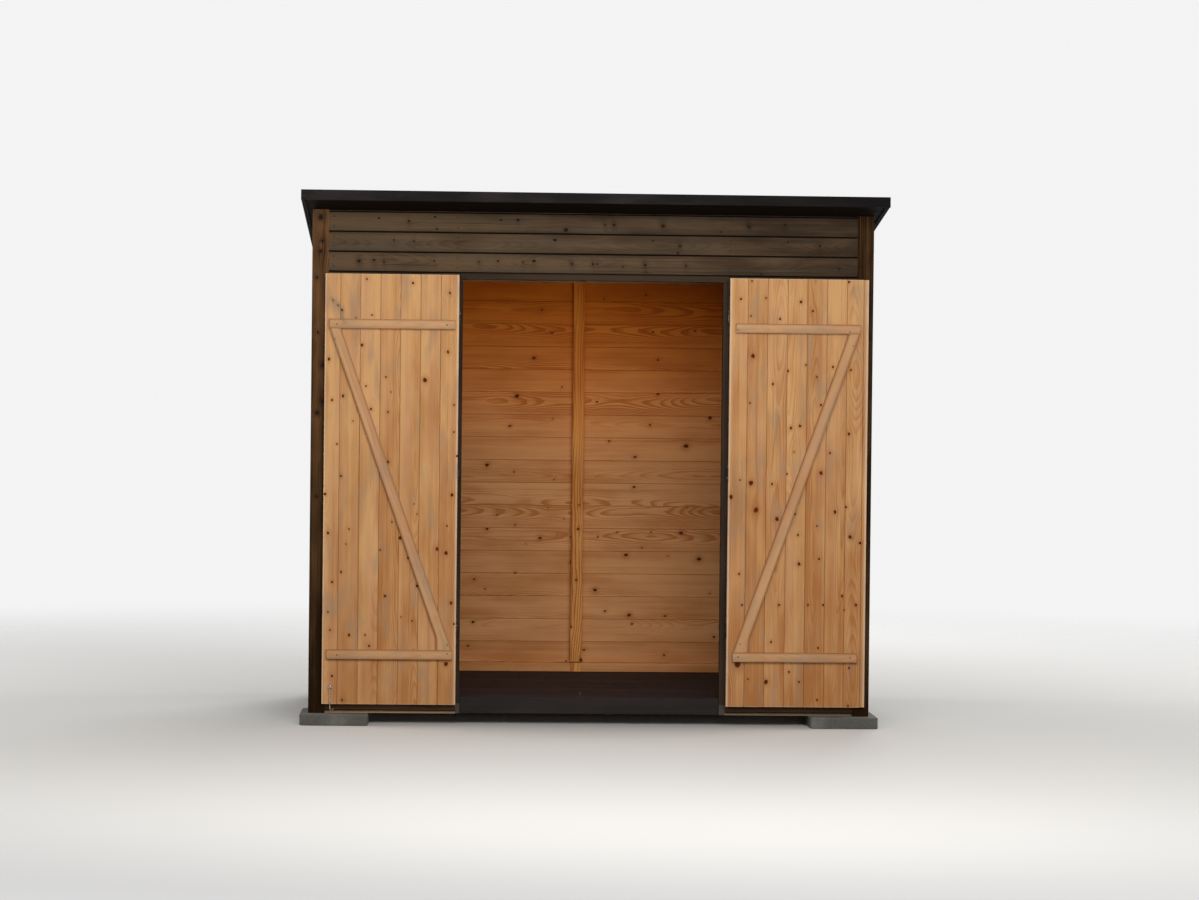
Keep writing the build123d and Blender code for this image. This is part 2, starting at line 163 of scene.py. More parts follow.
def grid_faces(rows, columns, close_rows=False, close_columns=False):
    """Quads between the points of a grid, joined end to start along an axis that closes."""
    i = np.arange(rows if close_rows else rows - 1)[:, None]
    j = np.arange(columns if close_columns else columns - 1)[None, :]
    below, right = (i + 1) % rows, (j + 1) % columns
    corners = (i * columns + j, i * columns + right, below * columns + right, below * columns + j)
    return np.stack(np.broadcast_arrays(*corners), -1).reshape(-1, 4)


def waves(points, pitch, seed, count=9):
    """Even unrepeating ripple from -1 to 1: a sum of plane waves in seeded directions."""
    rng = np.random.default_rng(seed)
    ways = rng.normal(size=(count, 3))
    ways *= (2 * math.pi / pitch) * rng.uniform(0.6, 1.7, (count, 1)) / np.linalg.norm(ways, axis=1, keepdims=True)
    return np.sin(points @ ways.T + rng.uniform(0, 2 * math.pi, count)).sum(-1) / count


def concrete():
    """Cast concrete: fine sand, paler and darker clouds, and round air holes."""
    made, tree, shader = new_material("concrete", Roughness=0.92)
    place = object_place(tree)
    sand = grain_noise(tree, place, (420, 420, 420), 3)
    cloud = grain_noise(tree, place, (9, 9, 9), 4)
    holes = shader_node(tree, "ShaderNodeTexVoronoi", {"Vector": place, "Scale": 95.0}).outputs["Distance"]
    pit = ease(tree, holes, 0.10, 0.22)
    colour = blend_colour(tree, ease(tree, cloud, 0.35, 0.68), paver_shaded_grey, paver_pale)
    colour = blend_colour(tree, ease(tree, sand, 0.52, 0.72), colour, paver_dark)
    colour = blend_colour(tree, calc(tree, "SUBTRACT", 1.0, pit), colour, paver_dark)
    tree.links.new(colour, shader.inputs["Base Color"])
    relief(tree, shader, calc(tree, "MULTIPLY_ADD", sand, 0.5, pit), 0.0012)
    return made


def slab(centre, side, height, seed):
    """Points of one slab: a rounded square outline carried over a side profile, its arris worn.

    Round it runs the angle t with the square's radius (|cos t|^n + |sin t|^n)^(-1/n), n being corner_power.
    """
    turn = np.linspace(0, 2 * math.pi, 160, endpoint=False)[None, :]
    profile = np.array([(0, 0), (0.5, 0), (0.97, 0), (0.994, 0.03), (1, 0.1), (1, 0.35), (1, 0.6), (1, 0.85)]
                       + [(0.997, 0.93), (0.985, 0.985), (0.965, 1), (0.7, 1), (0.4, 1), (0, 1)])
    share, up = profile[:, :1], profile[:, 1:]
    rounded = np.abs(np.cos(turn)) ** corner_power + np.abs(np.sin(turn)) ** corner_power
    reach = rounded ** (-1 / corner_power) * side / 2
    flat = np.stack((share * reach * np.cos(turn), share * reach * np.sin(turn), up * height + 0 * turn), -1)
    chips = np.clip(waves(flat, chip_pitch, seed) - 0.18, 0, 1) * (share > 0.95) * (up > 0.8)
    flat[..., :2] *= (1 - 0.05 * chips)[..., None]
    flat[..., 2] -= chips * chip_depth
    return flat + np.array(centre)


paver_low, paver_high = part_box("pavers")
paver_points = []
for number, (x, y) in enumerate(((-1, -1), (1, -1), (-1, 1), (1, 1))):
    middle_x = x * (paver_high.x - paver_side / 2)
    middle_y = (paver_low.y if y < 0 else paver_high.y) - y * paver_side / 2
    paver_points.append(slab((middle_x, middle_y, 0), paver_side, paver_high.z, number))
slab_faces = grid_faces(*paver_points[0].shape[:2], close_columns=True)
slab_size = paver_points[0].shape[0] * paver_points[0].shape[1]
paver_faces = np.concatenate([slab_faces + slab_size * number for number in range(4)])
slabs = new_piece("paver_slabs", np.concatenate([p.reshape(-1, 3) for p in paver_points]),
                  paver_faces.tolist(), [concrete()], weld=True)
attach(slabs, "store")
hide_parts("pavers")


# Ground frame and inner framing: sawn pine beams, joists, plates, studs and rafters, left bare.
# The front sole plates have weathered, and the stain reached them where they show beside the doorway.
frame_early = (0.50, 0.260, 0.100, 1)
frame_late = (0.30, 0.125, 0.036, 1)
frame_blush = (0.46, 0.210, 0.082, 1)
frame_ring = 0.0042
sole_early = (0.350, 0.225, 0.100, 1)
sole_shaded = (0.175, 0.118, 0.060, 1)
sole_late = (0.090, 0.058, 0.034, 1)
sole_stain = (0.020, 0.012, 0.007, 1)
stain_edge = (0.001, 0.004)
# Painted highlight and paler cut wood: the colour that the doors' cut edges are lightened towards.
edge_highlight_wood = (0.80, 0.62, 0.46, 1)
frame_timbers = {
    "X": ("back_beam", "front_sole_plates", "front_top_plate", "back_top_plate"),
    "Y": ("side_beams", "floor_joists", "side_bottom_rails", "side_top_rails", "rafters"),
    "Z": ("front_studs", "side_studs"),
}


def wood_figure():
    """Shader group for softwood: growth rings about the log's heart, fibre, mottle, blush, knot halo and seams.

    Log Point is the place in the log: x along the grain, y and z across it from the heart. Seam goes
    from 0 to 1 down in a joint, and below 0 on a cut edge, which is made paler as painted highlight and paler cut wood.
    """
    group = bpy.data.node_groups.new("wood_figure", "ShaderNodeTree")
    takes = {"Log Point": "Vector", "Tone": "Float", "Halo": "Float", "Early": "Color", "Late": "Color"}
    takes |= {"Halo Colour": "Color", "Blush": "Color", "Seam": "Float", "Seam Colour": "Color"}
    takes |= {"Ring Width": "Float", "Contrast": "Float", "Mottle": "Float"}
    for label, kind in takes.items():
        group.interface.new_socket(label, in_out="INPUT", socket_type=f"NodeSocket{kind}")
    for label, kind in {"Colour": "Color", "Roughness": "Float", "Height": "Float"}.items():
        group.interface.new_socket(label, in_out="OUTPUT", socket_type=f"NodeSocket{kind}")
    given = shader_node(group, "NodeGroupInput").outputs
    gives = shader_node(group, "NodeGroupOutput").inputs
    log, ring_width = given["Log Point"], given["Ring Width"]

    wander = grain_noise(group, log, (1.3, 2.0, 2.0), 1, "Color")
    bent = shader_node(group, "ShaderNodeVectorMath", {0: wander, 1: (0, 0.07, 0.07), 2: log},
                       operation="MULTIPLY_ADD").outputs[0]
    across = shader_node(group, "ShaderNodeVectorMath", {0: bent, 1: (0, 1, 1)}, operation="MULTIPLY")
    radius = shader_node(group, "ShaderNodeVectorMath", {0: across.outputs[0]}, operation="LENGTH")
    ripple = calc(group, "MULTIPLY", grain_noise(group, log, (6, 34, 34), 2), ring_width)
    rings = calc(group, "ADD", radius.outputs["Value"], ripple)
    phase = calc(group, "FRACT", calc(group, "DIVIDE", rings, ring_width))
    late = calc(group, "MULTIPLY", ease(group, phase, 0.30, 0.90), ease(group, phase, 0.93, 1.0, 1.0, 0.0))

    fibre = grain_noise(group, log, (11, 760, 760), 3)
    streak = grain_noise(group, log, (0.9, 44, 44), 2)
    vein = grain_noise(group, log, (0.7, 170, 170), 2)
    cloud = grain_noise(group, log, (3.2, 11, 11), 2)
    plain = grain_noise(group, log, (0.6, 5, 5), 1)
    figure_strength = calc(group, "MULTIPLY", given["Contrast"], ease(group, plain, 0.35, 0.65, 0.35, 1.5))
    lift = calc(group, "MULTIPLY", late, figure_strength)
    lift = calc(group, "MULTIPLY_ADD", calc(group, "SUBTRACT", streak, 0.5), given["Mottle"], lift)
    clouded = calc(group, "MULTIPLY", calc(group, "SUBTRACT", cloud, 0.5), 1.7)
    lift = calc(group, "MULTIPLY_ADD", clouded, given["Mottle"], lift)
    veined = calc(group, "MULTIPLY", given["Mottle"], 0.4)
    lift = calc(group, "MULTIPLY_ADD", ease(group, vein, 0.56, 0.74), veined, lift)
    lift = calc(group, "MULTIPLY_ADD", calc(group, "SUBTRACT", fibre, 0.5), 0.45, lift)
    lift = calc(group, "ADD", lift, given["Tone"], clamp=True)
    patch = grain_noise(group, scaled(group, log, (1, 1, 1), (5.1, 2.7, 9.3)), (1.6, 30, 30), 2)
    colour = blend_colour(group, ease(group, patch, 0.42, 0.66, 0.0, 0.8), given["Early"], given["Blush"])
    colour = blend_colour(group, lift, colour, given["Late"])
    colour = blend_colour(group, given["Halo"], colour, given["Halo Colour"])
    colour = blend_colour(group, ease(group, given["Seam"], 0.1, 0.75), colour, given["Seam Colour"])
    # Painted highlight: cut edges are lightened where their arrises catch light, and for paler cut wood.
    rubbed = blend_colour(group, 0.55, colour, edge_highlight_wood)
    colour = blend_colour(group, ease(group, given["Seam"], -0.15, -0.85), colour, rubbed)
    group.links.new(colour, gives["Colour"])
    group.links.new(calc(group, "MULTIPLY_ADD", fibre, 0.22, 0.52), gives["Roughness"])
    group.links.new(calc(group, "MULTIPLY_ADD", late, 0.5, calc(group, "MULTIPLY", fibre, 0.5)), gives["Height"])
    return group


figure = wood_figure()


def figured(tree, shader, inputs, relief_depth):
    """Place the wood figure in a material and feed its shader."""
    gives = shader_node(tree, "ShaderNodeGroup", inputs, node_tree=figure).outputs
    tree.links.new(gives["Colour"], shader.inputs["Base Color"])
    tree.links.new(gives["Roughness"], shader.inputs["Roughness"])
    relief(tree, shader, gives["Height"], relief_depth)


def straight_timber(name, axis, early, late, blush, ring_width, contrast=0.6, mottle=0.7, tone=0.2, **constants):
    """Wood finish for straight timbers whose grain runs along one axis of the object."""
    made, tree, shader = new_material(name, **constants)
    parts = parts_of(tree, object_place(tree))
    order = {"X": (0, 1, 2), "Y": (1, 0, 2), "Z": (2, 0, 1)}[axis]
    log = shader_node(tree, "ShaderNodeCombineXYZ", {i: parts[k] for i, k in enumerate(order)}).outputs[0]
    inputs = {"Log Point": log, "Tone": tone, "Halo": 0.0, "Early": early, "Late": late, "Halo Colour": late}
    inputs |= {"Blush": blush, "Ring Width": ring_width, "Contrast": contrast, "Mottle": mottle}
    inputs |= {"Seam": 0.0, "Seam Colour": late}
    figured(tree, shader, inputs, 0.0004)
    return made


def covered(made, cover):
    """Lay a second colour over a finish. cover makes two values for the tree: how much of it shows, and the colour."""
    tree = made.node_tree
    base = tree.nodes["Principled BSDF"].inputs["Base Color"]
    share, colour = cover(tree)
    tree.links.new(blend_colour(tree, share, base.links[0].from_socket, colour), base)
    return made


def dress(node_name, material):
    """Give a carried-over solid its finish."""
    node = nodes[node_name]
    node.data.materials.clear()
    node.data.materials.append(material)
    for face in node.data.polygons:
        face.material_index = 0


def sole_tone(tree):
    """Pale at the left end of the front and browner at the right, as painted shade for light that falls from the left.
    """
    across = parts_of(tree, object_place(tree))[0]
    return blend_colour(tree, ease(tree, across, -0.5, 0.7), sole_early, sole_shaded)


def sole_cover(tree):
    """Stain past the boarding's two edges, its limit broken up by a noise."""
    place = object_place(tree)
    ragged = calc(tree, "MULTIPLY_ADD", grain_noise(tree, place, (80, 80, 80), 2), 0.006, parts_of(tree, place)[0])
    near, far = stain_edge
    stained = calc(tree, "MINIMUM", ease(tree, ragged, right_boarding + far, right_boarding + near),
                   ease(tree, ragged, left_boarding + near, left_boarding + far))
    return stained, sole_stain


def sole_finish():
    """Front sole plates: weathered pine under the boarding, and stained where they show beside the doorway."""
    made = straight_timber("sole_plate_pine", "X", sole_tone, sole_late, sole_tone, frame_ring, contrast=0.3,
                           mottle=0.4, tone=0.0)
    return covered(made, sole_cover)


left_boarding, right_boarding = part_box("front_left_boards")[1].x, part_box("front_right_boards")[0].x
for axis, members in frame_timbers.items():
    sawn = straight_timber(f"sawn_pine_{axis.lower()}", axis, frame_early, frame_late, frame_blush, frame_ring)
    for member in members:
        dress(member, sole_finish() if member == "front_sole_plates" else sawn)


# Floor: planed boards 110 mm wide along the store's front, stained near black with a little paler grain.
# They lie across the joists, and their joints and small knots show.
board_joint = 0.0004
board_arris = 0.0018
tongue_depth = 0.0030
groove_half = 0.0045
groove_depth = 0.0045
seam_rim = 0.3
end_rim = 0.003
log_step = 7.3
log_range = 31
small_knot = (0.0022, 0.0055)
large_share = 0.25
large_scale = 1.6
knot_end_gap = 0.02
knot_edge_gap = 0.012
knot_wave = 0.08
floor_cover = 0.110
floor_early = (0.0270, 0.0242, 0.0330, 1)
floor_late = (0.0090, 0.0080, 0.0108, 1)
floor_blush = (0.0180, 0.0145, 0.0160, 1)
floor_halo = (0.006, 0.004, 0.003, 1)
bare_early = (0.50, 0.27, 0.105, 1)
bare_late = (0.31, 0.13, 0.042, 1)
bare_halo = (0.10, 0.035, 0.012, 1)
stained_knot_colours = ((0.012, 0.008, 0.005, 1), (0.026, 0.016, 0.010, 1), (0.040, 0.021, 0.012, 1),
                        (0.008, 0.005, 0.003, 1))


def attribute(tree, name, output="Fac"):
    """Read one of the values that a computed mesh carries."""
    return shader_node(tree, "ShaderNodeAttribute", attribute_name=name).outputs[output]


def board_finish(name, early, late, blush, halo, seam, ring_width, contrast, mottle, depth=0.00035, **constants):
    """Wood finish for boards that carry their own place in the log, tone, knot halo and seams."""
    made, tree, shader = new_material(name, **constants)
    inputs = {"Log Point": attribute(tree, "log", "Vector"), "Tone": attribute(tree, "tone")}
    inputs |= {"Seam": attribute(tree, "seam"), "Seam Colour": seam}
    inputs |= {"Halo": attribute(tree, "halo"), "Early": early, "Late": late, "Halo Colour": halo}
    inputs |= {"Blush": blush, "Ring Width": ring_width, "Contrast": contrast, "Mottle": mottle}
    figured(tree, shader, inputs, depth)
    return made


def board_outline(width, thickness, step):
    """Closed outline of a board as (across, depth) points, its inner face first.

    Next to its neighbours the inner face has a hair joint and the outer face half a V groove.
    It comes with the finish of each side and how far each point lies down in a joint, from 0 to 1.
    """
    groove, arris = min(groove_half, 0.4 * width), min(board_arris, 0.2 * width)
    inner = np.linspace(board_joint + arris, width - board_joint - arris, max(3, int(width / step)))
    outer = np.linspace(width - groove, groove, max(3, int(width / step / 2)))
    right = [(width - board_joint, arris), (width - board_joint, tongue_depth),
             (width, tongue_depth), (width, thickness - groove_depth)]
    left = [(width - v, w) for v, w in reversed(right)]
    outline = [(v, 0) for v in inner] + right + [(v, thickness) for v in outer] + left
    finishes = [0] * (len(inner) + 3) + [1] * (len(outer) + 1) + [0] * 4
    rims = [seam_rim] + [0] * (len(outer) - 2) + [seam_rim]
    depths = [0] * len(inner) + [seam_rim] + [1] * 3 + rims + [1] * 3 + [seam_rim]
    return np.array(outline), finishes, np.array(depths, float)


def new_shape():
    """Lists that the pieces of one mesh are gathered in."""
    return {key: [] for key in ("points", "quads", "caps", "finish", "cap_finish", "log", "tone", "halo", "seam")}


def sweep(shape, section, stations, place, heart, shift, tone, knots=(), end_finish=0, end_seam=0.0):
    """Carry a closed outline along a timber, and give each point its place in the log.

    place turns (along, across, depth) into a point. The fibres run round each knot, and the wood
    round it is darker, both by bell curves of the distance from it. end_seam is the seam value of
    the two ends, kept to their last few millimetres.
    """
    outline, finishes, depths = section
    if end_seam:
        stations = np.concatenate((stations[:1], stations[:1] + end_rim, stations[1:-1], stations[-1:] - end_rim,
                                   stations[-1:]))
    u, v, w = np.broadcast_arrays(stations[:, None], outline[None, :, 0], outline[None, :, 1])
    at_end = np.isin(np.arange(len(stations)), (0, len(stations) - 1))[:, None]
    depths = np.where(at_end & (depths <= 0), end_seam, depths)
    log_across, halo = v - heart[0], np.zeros(u.shape)
    for along, aside, radius in knots:
        near = np.exp(-((u - along) / (4 * radius + 0.014)) ** 2 - ((v - aside) / (2.2 * radius + 0.005)) ** 2)
        log_across = log_across - 0.75 * (v - aside) * near
        ring = np.exp(-((u - along) / (1.8 * radius + 0.003)) ** 2 - ((v - aside) / (1.6 * radius + 0.002)) ** 2)
        halo = np.maximum(halo, ring * min(0.9, 0.25 + 60 * radius))
    start = sum(len(p) for p in shape["points"])
    rows, columns = u.shape
    shape["points"].append(place(u, v, w).reshape(-1, 3))
    shape["quads"].append(grid_faces(rows, columns, close_columns=True) + start)
    shape["finish"].append(np.tile(finishes, rows - 1))
    shape["caps"] += [list(range(start, start + columns)),
                      list(range(start + (rows - 1) * columns, start + rows * columns))]
    shape["cap_finish"] += [end_finish] * 2
    shape["log"].append(np.stack((u + shift, log_across, w + heart[1]), -1).reshape(-1, 3))
    shape["tone"].append((tone(u) + 0 * u).ravel())
    shape["seam"].append(np.broadcast_to(depths, u.shape).ravel())
    shape["halo"].append(halo.ravel())


def shape_piece(name, shape, materials, body, slot, replaced=(), **settings):
    """Join what a shape has gathered into one piece that rides on a body."""
    faces = np.concatenate(shape["quads"]).tolist() + shape["caps"]
    finishes = np.concatenate([*shape["finish"], shape["cap_finish"]]) if shape["finish"] else None
    values = {key: np.concatenate(shape[key]) for key in ("log", "tone", "halo", "seam") if shape[key]}
    made = new_piece(name, np.concatenate(shape["points"]), faces, materials, finishes, **settings, **values)
    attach(made, body)
    if replaced:
        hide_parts(*replaced)
    return made


def spots(shape, place, places, surface, way, profile, sides=14, uneven=0.0):
    """Small round heads or knots on a face: a profile of (radius share, height) turned about each place.

    way is -1 on an inner face and 1 on an outer one. An uneven one is oval, and its edge waves
    with twice and three times the turn.
    """
    turn = np.linspace(0, 2 * math.pi, sides, endpoint=False)[None, :]
    share, height = np.array(profile)[:, :1], np.array(profile)[:, 1:]
    for number, (along, aside, radius) in enumerate(places):
        wobble = 1 + uneven * (np.sin(2 * turn + number) + 0.6 * np.sin(3 * turn + 2.3 * number))
        reach = share * radius * wobble
        oval = 1.2 if uneven else 1.0
        u, v, w = np.broadcast_arrays(along + oval * reach * np.cos(turn), aside + reach * np.sin(turn),
                                      surface + way * height)
        start = sum(len(p) for p in shape["points"])
        shape["points"].append(place(u, v, w).reshape(-1, 3))
        shape["quads"].append(grid_faces(*u.shape, close_columns=True) + start)
        shape["log"].append(np.stack((u, v, w), -1).reshape(-1, 3))
        shape["tone"].append(np.broadcast_to(share, u.shape).ravel())
        shape["halo"].append(np.full(u.size, number * 0.618 % 1))


def spot_piece(name, shape, material, body, slot):
    """Join gathered heads or knots into one smooth piece."""
    shape_piece(name, shape, [material], body, slot, weld=True, smooth=True)


def knot_wood(name, heart, ring, live, rim):
    """End grain of a branch: dark heart with small cracks, and rings that are redder in live knots."""
    made, tree, shader = new_material(name, Roughness=0.7, Specular_IOR_Level=0.05)
    share = attribute(tree, "tone")
    speckle = grain_noise(tree, attribute(tree, "log", "Vector"), (500, 500, 500), 3)
    waved = calc(tree, "MULTIPLY_ADD", speckle, 0.5, share)
    outer = blend_colour(tree, attribute(tree, "halo"), ring, live)
    colour = blend_colour(tree, ease(tree, waved, 0.60, 1.05), heart, outer)
    colour = blend_colour(tree, ease(tree, share, 0.70, 0.90), colour, rim)
    tree.links.new(colour, shader.inputs["Base Color"])
    relief(tree, shader, speckle, 0.0004)
    return made


knot_profile = [(0, 0.00025), (0.35, 0.00025), (0.7, 0.0002), (0.93, 0.0001), (1, -0.0004), (0, -0.0005)]


def knotted(shape, place, knots, surface, way):
    """Gather knots on a face of wood."""
    spots(shape, place, knots, surface, way, knot_profile, uneven=knot_wave)


def joints(low, high, cover, first=0.0, least=0.006):
    """Edges of boards between two limits: a first board of its own width, even ones, and what is left over least."""
    return ([low] if first else []) + list(np.arange(low + first, high - least, cover)) + [high]


def boarded(name, replaced, body, slot, edges, span, thickness, place, materials, seed, knots=(), knot_gap=0.0,
            clear=(0, 0), faces=(-1,), step=0.010, along_step=0.011, sections=None, end_finish=0,
            tone=lambda low, u: 0.0, spread=0.15, highlit_edges=False, knot_finish=None, knot_slot=None):
    """A boarded panel: one board between each two edges, with its knots.

    place turns (along, across, depth) into a point. span is a board's two ends, or a function of its
    lower edge that gives them. knots are chosen places as (along, across, radius), and one more small
    knot comes for each knot_gap metres of board, outside the clear stretch. sections makes the outlines
    of the boards that have their own. The edge flag makes the panel's cut edges paler, as painted
    highlight and paler cut wood.
    """
    rng = np.random.default_rng(seed)
    shape, marks = new_shape(), new_shape()
    for number, (low, high) in enumerate(zip(edges[:-1], edges[1:])):
        width = high - low
        start, end = span(low) if callable(span) else span
        found = [(u, v - low, r) for u, v, r in knots if low < v < high]
        more = int((end - start) / knot_gap + rng.random()) if knot_gap and width > 0.03 else 0
        for _ in range(more):
            radius = rng.uniform(*small_knot) * (large_scale if rng.random() < large_share else 1)
            along = rng.uniform(start + knot_end_gap, end - knot_end_gap)
            aside = rng.uniform(knot_edge_gap, width - knot_edge_gap)
            if not clear[0] < along < clear[1]:
                found.append((along, aside, radius))
        heart = (width * rng.uniform(-0.2, 1.2), rng.uniform(0.012, 0.075))
        make = (sections or {}).get(number)
        outline, finishes, depths = make(width, thickness) if make else board_outline(width, thickness, step)
        outer = outline[:, 0] < board_arris * 1.5 if number == 0 else outline[:, 0] > width - board_arris * 1.5
        if highlit_edges and number in (0, len(edges) - 2):
            depths = np.where(outer, -1.0, depths)
        stations = np.linspace(start, end, max(2, int((end - start) / along_step)))
        shade = rng.uniform(-spread, spread)

        def local(u, v, w, low=low):
            return place(u, v + low, w)

        def board_tone(u, low=low, shade=shade):
            return tone(low, u) + shade

        shift = log_step * number + log_range * rng.random()
        sweep(shape, (outline, finishes, depths), stations, local, heart, shift, board_tone, found, end_finish,
              -1.0 if highlit_edges else 0.0)
        for way in faces:
            knotted(marks, local, found, 0 if way < 0 else thickness, way)
    made = shape_piece(name, shape, materials, body, slot, replaced)
    if marks["points"]:
        spot_piece(name + "_knots", marks, knot_finish, body, knot_slot or slot)
    return made


floor_low, floor_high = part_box("floor_boards")
floor_stain = board_finish("floor_stain", floor_early, floor_late, floor_blush, floor_halo, floor_halo,
                           ring_width=0.0030, contrast=0.75, mottle=1.3, depth=0.0006, Specular_IOR_Level=0.14)
bare_board = board_finish("bare_board", bare_early, bare_late, frame_blush, bare_halo, bare_late,
                          ring_width=0.0030, contrast=0.6, mottle=0.7, Specular_IOR_Level=0.3)
stained_knot = knot_wood("stained_knot", *stained_knot_colours)


def floor_place(u, v, w):
    """Floor boards run along X, are counted from the front, and go down from their walked face."""
    return np.stack((u, v, floor_high.z - w), -1)


boarded("floor_planks", ["floor_boards"], "store", "floor_stain", joints(floor_low.y, floor_high.y, floor_cover),
        (floor_low.x, floor_high.x), floor_high.z - floor_low.z, floor_place, [floor_stain, bare_board], seed=11,
        knot_gap=0.45, step=0.018, along_step=0.04, tone=lambda low, u: 0.3, knot_finish=stained_knot)


# Threshold, posts, jambs and lintel: planed pine with eased arrises, in a brown see-through stain.
# The posts took it redder than the boards, and the doorway's trim is greyer.
# Along their height the posts carry painted shade: darker lower down, and the front right post darker all the way up.
post_early = (0.170, 0.080, 0.031, 1)
post_late = (0.017, 0.0072, 0.0014, 1)
post_blush = (0.125, 0.066, 0.032, 1)
post_halo = (0.012, 0.005, 0.003, 1)
trim_early = (0.053, 0.034, 0.021, 1)
trim_late = (0.019, 0.012, 0.007, 1)
trim_blush = (0.040, 0.025, 0.0155, 1)
threshold_early = (0.0225, 0.0165, 0.0148, 1)
threshold_late = (0.0076, 0.0055, 0.0048, 1)
post_arris = 0.0025
post_width = 0.072
post_heights = (0.20, 1.28, 2.00)
# Painted shade: each post's tone at these heights, darker towards the foot, and the front right post darker throughout.
post_painted_shade = {("front_posts", -1): (0.86, 0.54, -0.22), ("front_posts", 1): (0.88, 0.75, 0.84),
              ("back_posts", -1): (0.86, 0.70, 0.60), ("back_posts", 1): (0.88, 0.72, 0.62)}
post_knot_aside = (0.012, 0.06)
post_knot_radius = (0.004, 0.009)
post_top_knots = ((0.035, 0.036, 0.010), (0.30, 0.05, 0.006))
jamb_width = 0.045
roof_pitch = math.radians(8.0)


def squared_section(width, depth, arris, step, rim=0.0):
    """Section of a squared timber with rounded arrises: quarter circles between straight sides."""
    points, depths = [], []
    quarter = np.linspace(0, math.pi / 2, 4)
    corners = ((arris, arris, math.pi), (width - arris, arris, 1.5 * math.pi),
               (width - arris, depth - arris, 0), (arris, depth - arris, 0.5 * math.pi))
    arcs = [[(x + arris * math.cos(turn + a), y + arris * math.sin(turn + a)) for a in quarter]
            for x, y, turn in corners]
    for number, length in enumerate((width, depth, width, depth)):
        points += arcs[number]
        parts = max(1, int(length / step))
        goal = np.subtract(arcs[(number + 1) % 4][0], arcs[number][-1])
        points += [tuple(np.add(arcs[number][-1], goal * k / parts)) for k in range(1, parts)]
        depths += [rim] * len(arcs[number]) + [0.0] * (parts - 1)
    return np.array(points), [0] * len(points), np.array(depths)


def timber(shape, width, depth, length, place, seed, tone, knots=(), arris=post_arris, step=0.012,
           along_step=0.012, rim=0.0):
    """Gather one squared timber of the given section, with its own place in its log. rim darkens its edges and ends, as
    dirt and painted shade.
    """
    rng = np.random.default_rng(seed)
    stations = np.linspace(0, length, max(2, int(length / along_step)))
    heart = (width * rng.uniform(-0.3, 1.3), rng.uniform(0.01, 0.05))
    sweep(shape, squared_section(width, depth, arris, step, rim), stations, place, heart,
          log_range * rng.random(), tone if callable(tone) else lambda u: tone, knots, end_seam=rim)


def timbers(name, node_name, spans, material, slot, seed, tone=0.1, arris=0.002, step=0.015, along_step=0.03):
    """Straight timbers that replace one node: each span gives its box, and the grain runs along the longest side."""
    shape = new_shape()
    for number, (low, high) in enumerate(spans):
        size = np.subtract(high, low)
        along = int(np.argmax(size))
        across, deep = [axis for axis in range(3) if axis != along]

        def place(u, v, w, low=low, along=along, across=across, deep=deep):
            parts = [None] * 3
            parts[along], parts[across], parts[deep] = low[along] + u, low[across] + v, low[deep] + w
            return np.stack(parts, -1)

        timber(shape, size[across], size[deep], size[along], place, seed + number, tone, (), arris, step, along_step)
    return shape_piece(name, shape, [material], "store", slot, [node_name])


roof_slope = math.tan(roof_pitch)
front_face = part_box("front_posts")[0].y
soffit_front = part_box("front_posts")[1].z
post_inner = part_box("front_posts")[1].x - post_width
post_stain = board_finish("post_stain", post_early, post_late, post_blush, post_halo, post_halo,
                          ring_width=0.0034, contrast=0.5, mottle=1.0, depth=0.0005, Specular_IOR_Level=0.04)
trim_stain = board_finish("trim_stain", trim_early, trim_late, trim_blush, post_halo, post_halo,
                          ring_width=0.0030, contrast=0.5, mottle=0.8, depth=0.0004, Specular_IOR_Level=0.06)


def under_roof(y):
    """Height of the underside of the roof over a place along Y."""
    return soffit_front - (y - front_face) * roof_slope


def post_place(side, low_y, foot):
    """Posts stand on the pavers, and their tops are cut to the roof."""
    def place(u, v, w):
        y = low_y + w
        return np.stack((side * (post_inner + v), y,
                         foot + u * (under_roof(y) - foot) / (under_roof(low_y) - foot)), -1)
    return place


post_marks = new_shape()
for node_name, name, seed in (("front_posts", "front_corner_posts", 21), ("back_posts", "back_corner_posts", 22)):
    low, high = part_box(node_name)
    shape = new_shape()
    rng = np.random.default_rng(seed)
    for side in (-1, 1):
        length = under_roof(low.y) - low.z
        knots = [(u, rng.uniform(*post_knot_aside), rng.uniform(*post_knot_radius))
                 for u in rng.uniform(0.1, length - 0.1, 9)]
        if node_name == "front_posts" and side < 0:
            knots += [(length - down, aside, radius) for down, aside, radius in post_top_knots]
        place = post_place(side, low.y, low.z)
        timber(shape, post_width, high.y - low.y, length, place, seed + side,
               lambda u, tones=post_painted_shade[node_name, side]: np.interp(u, post_heights, tones), knots)
        for surface, way in ((0, -1), (high.y - low.y, 1)):
            knotted(post_marks, place, knots, surface, way)
    shape_piece(name, shape, [post_stain], "store", "post_stain", [node_name])
spot_piece("post_knots", post_marks, stained_knot, "store", "post_stain")

threshold_stain = board_finish("threshold_stain", threshold_early, threshold_late, threshold_early, post_halo,
                               post_halo, ring_width=0.0030, contrast=0.75, mottle=1.1, depth=0.0006,
                               Specular_IOR_Level=0.18)
timbers("threshold_board", "threshold", [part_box("threshold")], threshold_stain, "floor_stain", seed=31, tone=0.0)
timbers("lintel_beam", "lintel", [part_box("lintel")], trim_stain, "jamb_stain", seed=32)
low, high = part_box("door_jambs")
jamb_spans = [(low, (low.x + jamb_width, high.y, high.z)), ((high.x - jamb_width, low.y, low.z), high)]
timbers("doorway_jambs", "door_jambs", jamb_spans, trim_stain, "jamb_stain", seed=33, tone=0.28)


